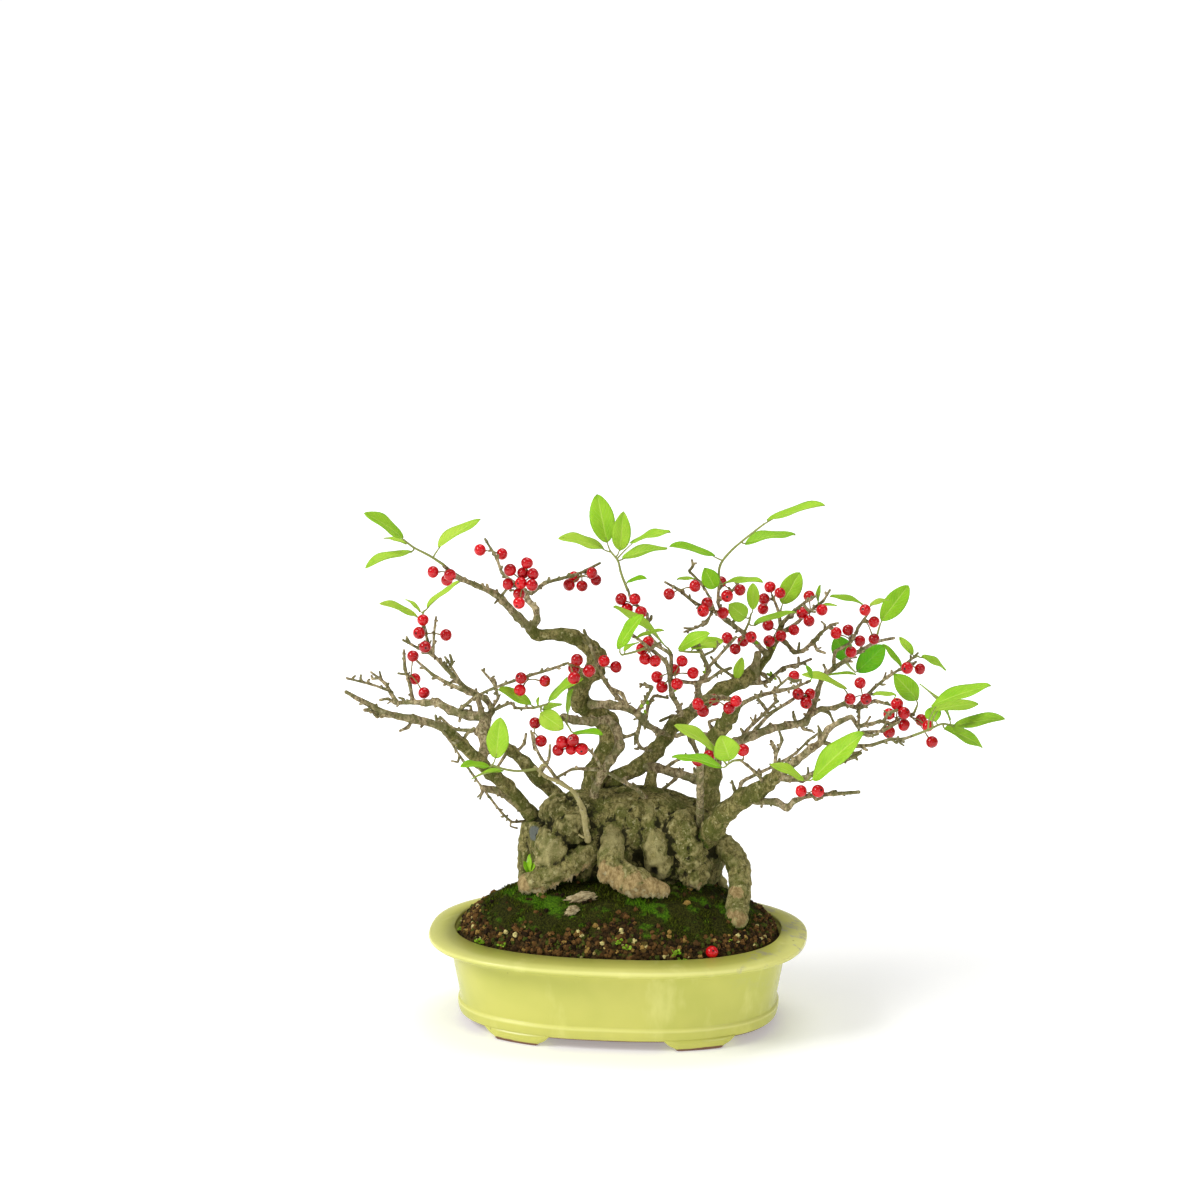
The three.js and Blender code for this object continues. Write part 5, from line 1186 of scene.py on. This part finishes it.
def limbs_build(low, high, sides, lumps):
    """Limbs of a range of widths, with knots at their nodes and short spurs along the finer ones."""
    build = Build()
    draw = np.random.default_rng(int(high * 10))
    for row in LIMBS:
        if not low <= row[0] < high:
            continue
        route, radii = seen_route(row[2]), limb_radii(row)
        plain = {"high": 0.9 if row[2][:2] == PALE_STICK else 0.0}
        radii[0] *= 1.2
        line = tube(build, route, radii, sides, LIMB_PACE, lumps, seed=row[2][0], ease=LIMB_EASE, knots=LIMB_KNOTS,
                    **plain)
        if row[0] >= STOUT:
            continue
        along = unit(np.gradient(line, axis=0))
        spot = draw.uniform(2, 5)
        while spot < len(line) * LIMB_PACE * 0.96:
            k = min(len(line) - 2, int(spot / LIMB_PACE))
            lean = unit(unit(np.cross(along[k], draw.normal(size=3))) + along[k] * draw.uniform(0.3, 1.2))
            width = min(radii.max(), 0.8) * draw.uniform(0.55, 0.85)
            if draw.random() < STUBBY_SPURS:
                reach = radii.max() * 0.6 + draw.uniform(0.3, 1.3)
                tip = line[k] + lean * reach
                tube(build, [line[k], tip], [width * 1.4, width], 7, 0.5, 0.3, **plain)
            else:
                reach = draw.uniform(1.5, 3)
                elbow = line[k] + lean * reach
                way = unit(lean + draw.normal(scale=0.7, size=3) + [0, 0, 0.4])
                tip = elbow + way * reach * draw.uniform(0.6, 1.2)
                tube(build, [line[k], elbow, tip], [width * 1.3, width * 0.9, width * 0.95], 7, 0.6, 0.3,
                     ease=0.4, knots=0.35, **plain)
            spot += draw.uniform(1.6, 6.5)
    points = np.vstack(build.points)
    build.values["mossy"] = [np.clip(cloud(points, 0.11, 4.0) * 1.6, 0, 0.55) *
                             np.clip((112 - points[:, 2]) / 30, 0, 1)]
    return build


def on_wood(across, down):
    """The point of a limb that lies nearest to a line of sight."""
    sight = np.array([seen(across, down, back) for back in DEPTHS])
    return np.array(min((nearest_on(sight, point)[1], tuple(point)) for line in LIMB_LINES for point in line)[1])


def depth_of(point):
    """How far behind the sight point a point lies."""
    return turned(point, -SIGHT_TURN)[1] - SIGHT_POINT[1]


def fine_twigs_build():
    """Small twigs with a swelling at each bend and a bud at the tip."""
    build = Build()
    draw = np.random.default_rng(TWIG_SEED)
    for width, flat in FINE_TWIGS:
        hold = on_wood(*flat[:2])
        back, drift = depth_of(hold), draw.uniform(-0.8, 0.4)
        route = [hold] + [seen(flat[i], flat[i + 1], back + drift * i) for i in range(2, len(flat), 2)]
        radii = np.maximum(np.linspace(width * 0.62, width * 0.42, len(route)) * STEP, THIN_TWIG)
        radii[-1] *= 1.15
        line = tube(build, route, radii, 8, 0.7, 0.25, seed=flat[0], ease=LIMB_EASE, knots=0.3, high=0.2)
        for _ in range(2):
            k = draw.integers(2, len(line) - 1)
            way = unit(draw.normal(size=3) + [0, 0, 0.4])
            tube(build, [line[k], line[k] + way * 0.9, line[k] + way * draw.uniform(1.3, 2.4)], [0.45, 0.34, 0.4],
                 6, 0.6, high=0.2)
    return build


make("boughs", limbs_build(STOUT, WIDEST, 20, 0.2), OLD_BARK, ["tree"])
make("fine_twigs", fine_twigs_build(), YOUNG_BARK, ["tree"])
make("branches", limbs_build(MIDDLING, STOUT, 14, 0.22), YOUNG_BARK, ["tree"])
make("twigs", limbs_build(0, MIDDLING, 8, 0.24), YOUNG_BARK, ["tree"])


# Leaves

def leaf(build, base, tip, seen_width, arch, draw, rows=26, columns=11):
    """A thin blade on the CAD leaf's form: midrib, slightly wavy margin, fine teeth and two faces."""
    length, along = np.linalg.norm(tip - base), unit(tip - base)
    to_eye = turned(np.array([0, -math.cos(SIGHT_ANGLE), math.sin(SIGHT_ANGLE)]), SIGHT_TURN)
    face = unit(to_eye - along * to_eye.dot(along))
    flank = np.cross(along, face)
    width = max(seen_width * STEP, LEAF_SLIMNESS * length)
    roll = math.acos(min(1, seen_width * STEP / width))
    turn = -roll if flank[2] < 0 else roll
    side = flank * math.cos(turn) - face * math.sin(turn)
    normal = unit(np.cross(side, along))
    t = np.linspace(0, 1, rows)[:, None]
    s = np.linspace(-1, 1, columns)[None, :]
    half = width / 2 * np.sin(math.pi * np.clip(t, 1e-6, 1 - 1e-6) ** LEAF_SHOULDER) ** LEAF_FULLNESS
    teeth = 1 + LEAF_TEETH * (np.arange(rows)[:, None] % 2) * (np.abs(s) > 0.99)
    across = s * half * teeth
    sag = arch * length * (t * t - t * LEAF_SPRING)
    wave = LEAF_WAVE * width * np.sin(t * draw.uniform(7, 11) + draw.uniform(0, 6)) * np.abs(s) ** 2
    rib = -LEAF_RIB * np.exp(-(s / 0.12) ** 2)
    height = np.abs(across) * LEAF_FOLD - sag + wave + rib
    surface = base + along * (t * length)[..., None] + side * across[..., None] + normal * height[..., None]
    thick = (0.16 * (1 - np.abs(s) ** 4) + 0.03)[..., None] * np.ones((rows, 1, 1))
    top = (surface + normal * thick).reshape(-1, 3)
    under = (surface - normal * thick).reshape(-1, 3)
    faces = grid_faces(rows, columns, False)
    shift = rows * columns
    flipped = [tuple(v + shift for v in face[::-1]) for face in faces]
    order = np.arange(shift).reshape(rows, columns)
    edge = np.concatenate([order[:, 0], order[-1, 1:], order[-2::-1, -1], order[0, -2:0:-1]]).tolist()
    rim = [(a, b, b + shift, a + shift) for a, b in zip(edge, edge[1:] + edge[:1])]
    build.add(np.vstack([top, under]), faces + flipped + rim, along=np.tile(np.repeat(t[:, 0], columns), 2),
              across=np.tile(s[0], rows * 2), under=np.repeat([0.0, 1.0], shift), tint=draw.random())


for name, route, leaves in SPRAYS:
    draw = np.random.default_rng(len(name) * 31 + int(route[0]))
    shoot = seen_route(route)
    blades, stems = Build(), Build()
    tube(stems, shoot, np.linspace(0.6, 0.42, len(shoot)), 8, 0.8, 0.1, seed=route[0])
    for i, (x0, y0, back0, x1, y1, back1, width) in enumerate(leaves):
        base, tip = seen(x0, y0, back0), seen(x1, y1, back1)
        leaf(blades, base, tip, width, LEAF_ARCHES[i % 3], draw)
        hold, _ = nearest_on(shoot, base)
        inner = base + (tip - base) * 0.12
        bend = (hold + base) / 2 - np.array([0, 0, 0.3])
        tube(stems, [hold, bend, inner], [0.42, 0.34, 0.2], 6, 0.6)
    title = name.replace("leaves_", "")
    blade_paint, slot = (DARK_LEAF, "leaf_dark") if name == DARK_SPRAY else (LEAF, "leaf")
    make(f"leaf_blades_{title}", blades, blade_paint, [name])
    make(f"shoot_{title}", stems, SHOOT, [name])


def weed(build, place, height, draw):
    """A small tuft of leaves on short stalks."""
    for _ in range(WEED_LEAVES):
        way = unit(np.array([draw.normal(), draw.normal() - 0.4, draw.uniform(0.5, 1.4)]))
        fork = place + way * height * draw.uniform(0.35, 0.6)
        leaf(build, fork, fork + way * height * 0.5 + [0, 0, -0.2], height * 0.9, 0.1, draw, *BUD_LEAF)
        tube(build, [place, (place + fork) / 2, fork], [0.16, 0.14, 0.12], 5, 0.6, along=0.4, across=0.5, tint=0.4)


weeds = Build()
draw = np.random.default_rng(WEED_SEED)
for across, down, size in WEEDS:
    weed(weeds, resting(across, down, 0.3), size * STEP * 1.25, draw)
for tip in SPROUT[1:]:
    leaf(weeds, seen(*SPROUT[0]), seen(*tip), 5, 0.12, draw, 11, 5)
make("weeds", weeds, LEAF, [])

growth = Build()
for across, down, tip_across, tip_down, width in TINY_LEAVES:
    hold = on_wood(across, down)
    back = depth_of(hold)
    base, tip = seen(across, down, back - 1), seen(tip_across, tip_down, back - 3)
    leaf(growth, base, tip, width, 0.15, draw, *SMALL_LEAF)
    tube(growth, [hold, (hold + base) / 2, base], [0.4, 0.34, 0.3], 6, 0.6, along=0.4, across=0.5, tint=0.4)
for across, down in BUDS:
    hold = on_wood(across, down)
    for k in range(3):
        way = unit(draw.normal(size=3) + [0, 0, 0.7])
        leaf(growth, hold + way * 0.5, hold + way * draw.uniform(2.2, 3.4), 3, 0.1, draw, *BUD_LEAF)
make("tiny_leaves", growth, LEAF, [])


# Berries

def node_points(node):
    """The vertices of a CAD node, in the part's millimetres."""
    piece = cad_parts[node]
    matrix = np.array(piece.matrix_world)
    points = corner_values(piece.data, "co") @ matrix[:3, :3].T + matrix[:3, 3]
    return (points - MIDDLE) / MILLIMETRE


def found_berry(points, across, down):
    """The berry's centre on its line of sight: where most of the node's corners lie on its surface."""
    best, centre = 0, None
    for back in np.arange(*DEPTHS, 0.15):
        trial = seen(across, down, back)
        off = np.abs(np.linalg.norm(points - trial, axis=1) - BERRY_REACH)
        score = np.clip(1 - off / 0.16, 0, 1).sum()
        if score > best:
            best, centre = score, trial
    return centre


def berry(build, centre, apex, radius, draw):
    """A round berry with a small dimple and its dark stigma at the apex."""
    points, faces = SPHERE
    level = points[:, 2]
    shape = 1 - 0.1 * np.clip((level - 0.93) / 0.07, 0, 1) + 0.012 * np.sin(points[:, 0] * 3 + draw.uniform(0, 6))
    turn = np.array(Vector((0, 0, 1)).rotation_difference(Vector(apex)).to_matrix())
    placed = (points * shape[:, None] * radius * np.array([1, 1, 0.97])) @ turn.T + centre
    build.add(placed, faces, apex=level, tint=draw.random())


SPHERE = icosphere(4)
for i, places in enumerate(BUNCHES):
    node = f"berries_{i + 1:02d}"
    draw = np.random.default_rng(BERRY_SEED + i)
    corners = node_points(node)
    centres = [found_berry(corners, *place) for place in places]
    away = np.min([np.linalg.norm(corners - centre, axis=1) for centre in centres], axis=0)
    rest = corners[away > BERRY_CLEAR]
    hub = rest.mean(axis=0) if len(rest) else corners.mean(axis=0)
    hold = min((nearest_on(line, hub) for line in LIMB_LINES), key=lambda found: found[1])[0]
    fruit, stalks = Build(), Build()
    tube(stalks, [hub, (hub + hold) / 2, hold], [0.5, 0.5, 0.55], 7, 0.5)
    for centre in centres:
        inward = unit(hub - centre)
        apex = unit(-inward + draw.normal(scale=0.25, size=3))
        berry(fruit, centre, apex, BERRY_RADIUS * draw.uniform(0.94, 1.02), draw)
        end = centre + inward * BERRY_RADIUS * 0.9
        middle = (hub + end) / 2 + np.array([0, 0, 0.08]) * np.linalg.norm(hub - end)
        tube(stalks, [hub, middle, end], [0.3, 0.27, 0.36], 6, 0.5)
    make(f"fruit_{i + 1:02d}", fruit, BERRY, [node])
    make(f"stalks_{i + 1:02d}", stalks, STALK, [node])

fallen = Build()
draw = np.random.default_rng(FALLEN_SEED)
berry(fallen, resting(*FALLEN_BERRY, BERRY_RADIUS), unit(np.array([0.3, -0.8, 0.5])), BERRY_RADIUS, draw)
make("fallen_berry", fallen, BERRY, ["berry_fallen"])

flake = Build()
for across, down, half, turn in FLAKE_LOBES:
    points, faces = SPHERE
    ragged = 0.55 * cloud(points, 1.7, 2.0) + 0.4 * cloud(points, 4.5, 6.0) + 0.2 * cloud(points, 11, 1.0)
    lobe = points * half * (1 + ragged)[:, None]
    lobe = lobe @ np.array(Matrix.Rotation(-0.5, 3, "X")).T @ np.array(Matrix.Rotation(turn, 3, "Y")).T
    flake.add(lobe + resting(across, down, 0.6), faces)
make("flake_of_wood", flake, OLD_WOOD, ["wood_flake"])

for node in ("drain_net_left", "drain_net_right"):
    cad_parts[node].data.materials.clear()
    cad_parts[node].data.materials.append(NET)


# Floor, light and camera

def floor_paint():
    """A pale floor with a glow that grows with distance, so that it is white all round the pot."""
    paint = Paint("floor", 0.9, 0.1)
    away = paint.node("VectorMath", {0: paint.place}, "Value", operation="LENGTH")
    return paint.done(paint.mix(paint.noise(3, 2), (0.86, 0.86, 0.85, 1), (0.85, 0.85, 0.84, 1)),
                      Emission_Color=(1, 1, 1, 1), Emission_Strength=paint.spread(away, 0.1, 0.45, 0.28, 0.78))


def aim(piece, place, way, ahead):
    """Put a lamp or camera at a place, with the axis `ahead` along a direction."""
    piece.location = place
    piece.rotation_mode = "QUATERNION"
    piece.rotation_quaternion = Vector(way).to_track_quat(ahead, "Y")


bpy.ops.mesh.primitive_plane_add(size=FLOOR_SIZE, location=(0, 0, -0.0002))
floor = bpy.context.object
floor.name = "floor"
floor.data.materials.append(floor_paint())

for name, place, size, power in LAMPS:
    light = bpy.data.lights.new(name, "AREA")
    light.size = size
    light.energy = power
    aim(put(name, light), place, Vector(place) - Vector(LAMPS_AIM), "Z")
world = bpy.data.worlds.new("studio")
world.use_nodes = True
background = world.node_tree.nodes["Background"]
background.inputs["Color"].default_value = (1, 1, 1, 1)
background.inputs["Strength"].default_value = WORLD_STRENGTH
bpy.context.scene.world = world

camera = put("camera", bpy.data.cameras.new("camera"))
aim(camera, turned(EYE, SIGHT_TURN) * MILLIMETRE + MIDDLE, turned(FORWARD, SIGHT_TURN), "-Z")
camera.data.sensor_width = SENSOR
camera.data.lens = SENSOR * SIGHT_DISTANCE / (PICTURE * STEP)
camera.data.shift_x = (PICTURE / 2 - SIGHT_ACROSS) / PICTURE
camera.data.shift_y = (SIGHT_DOWN - PICTURE / 2) / PICTURE
camera.data.clip_start, camera.data.clip_end = CLIPPING
bpy.context.scene.camera = camera
bpy.context.scene.view_settings.view_transform = "Standard"
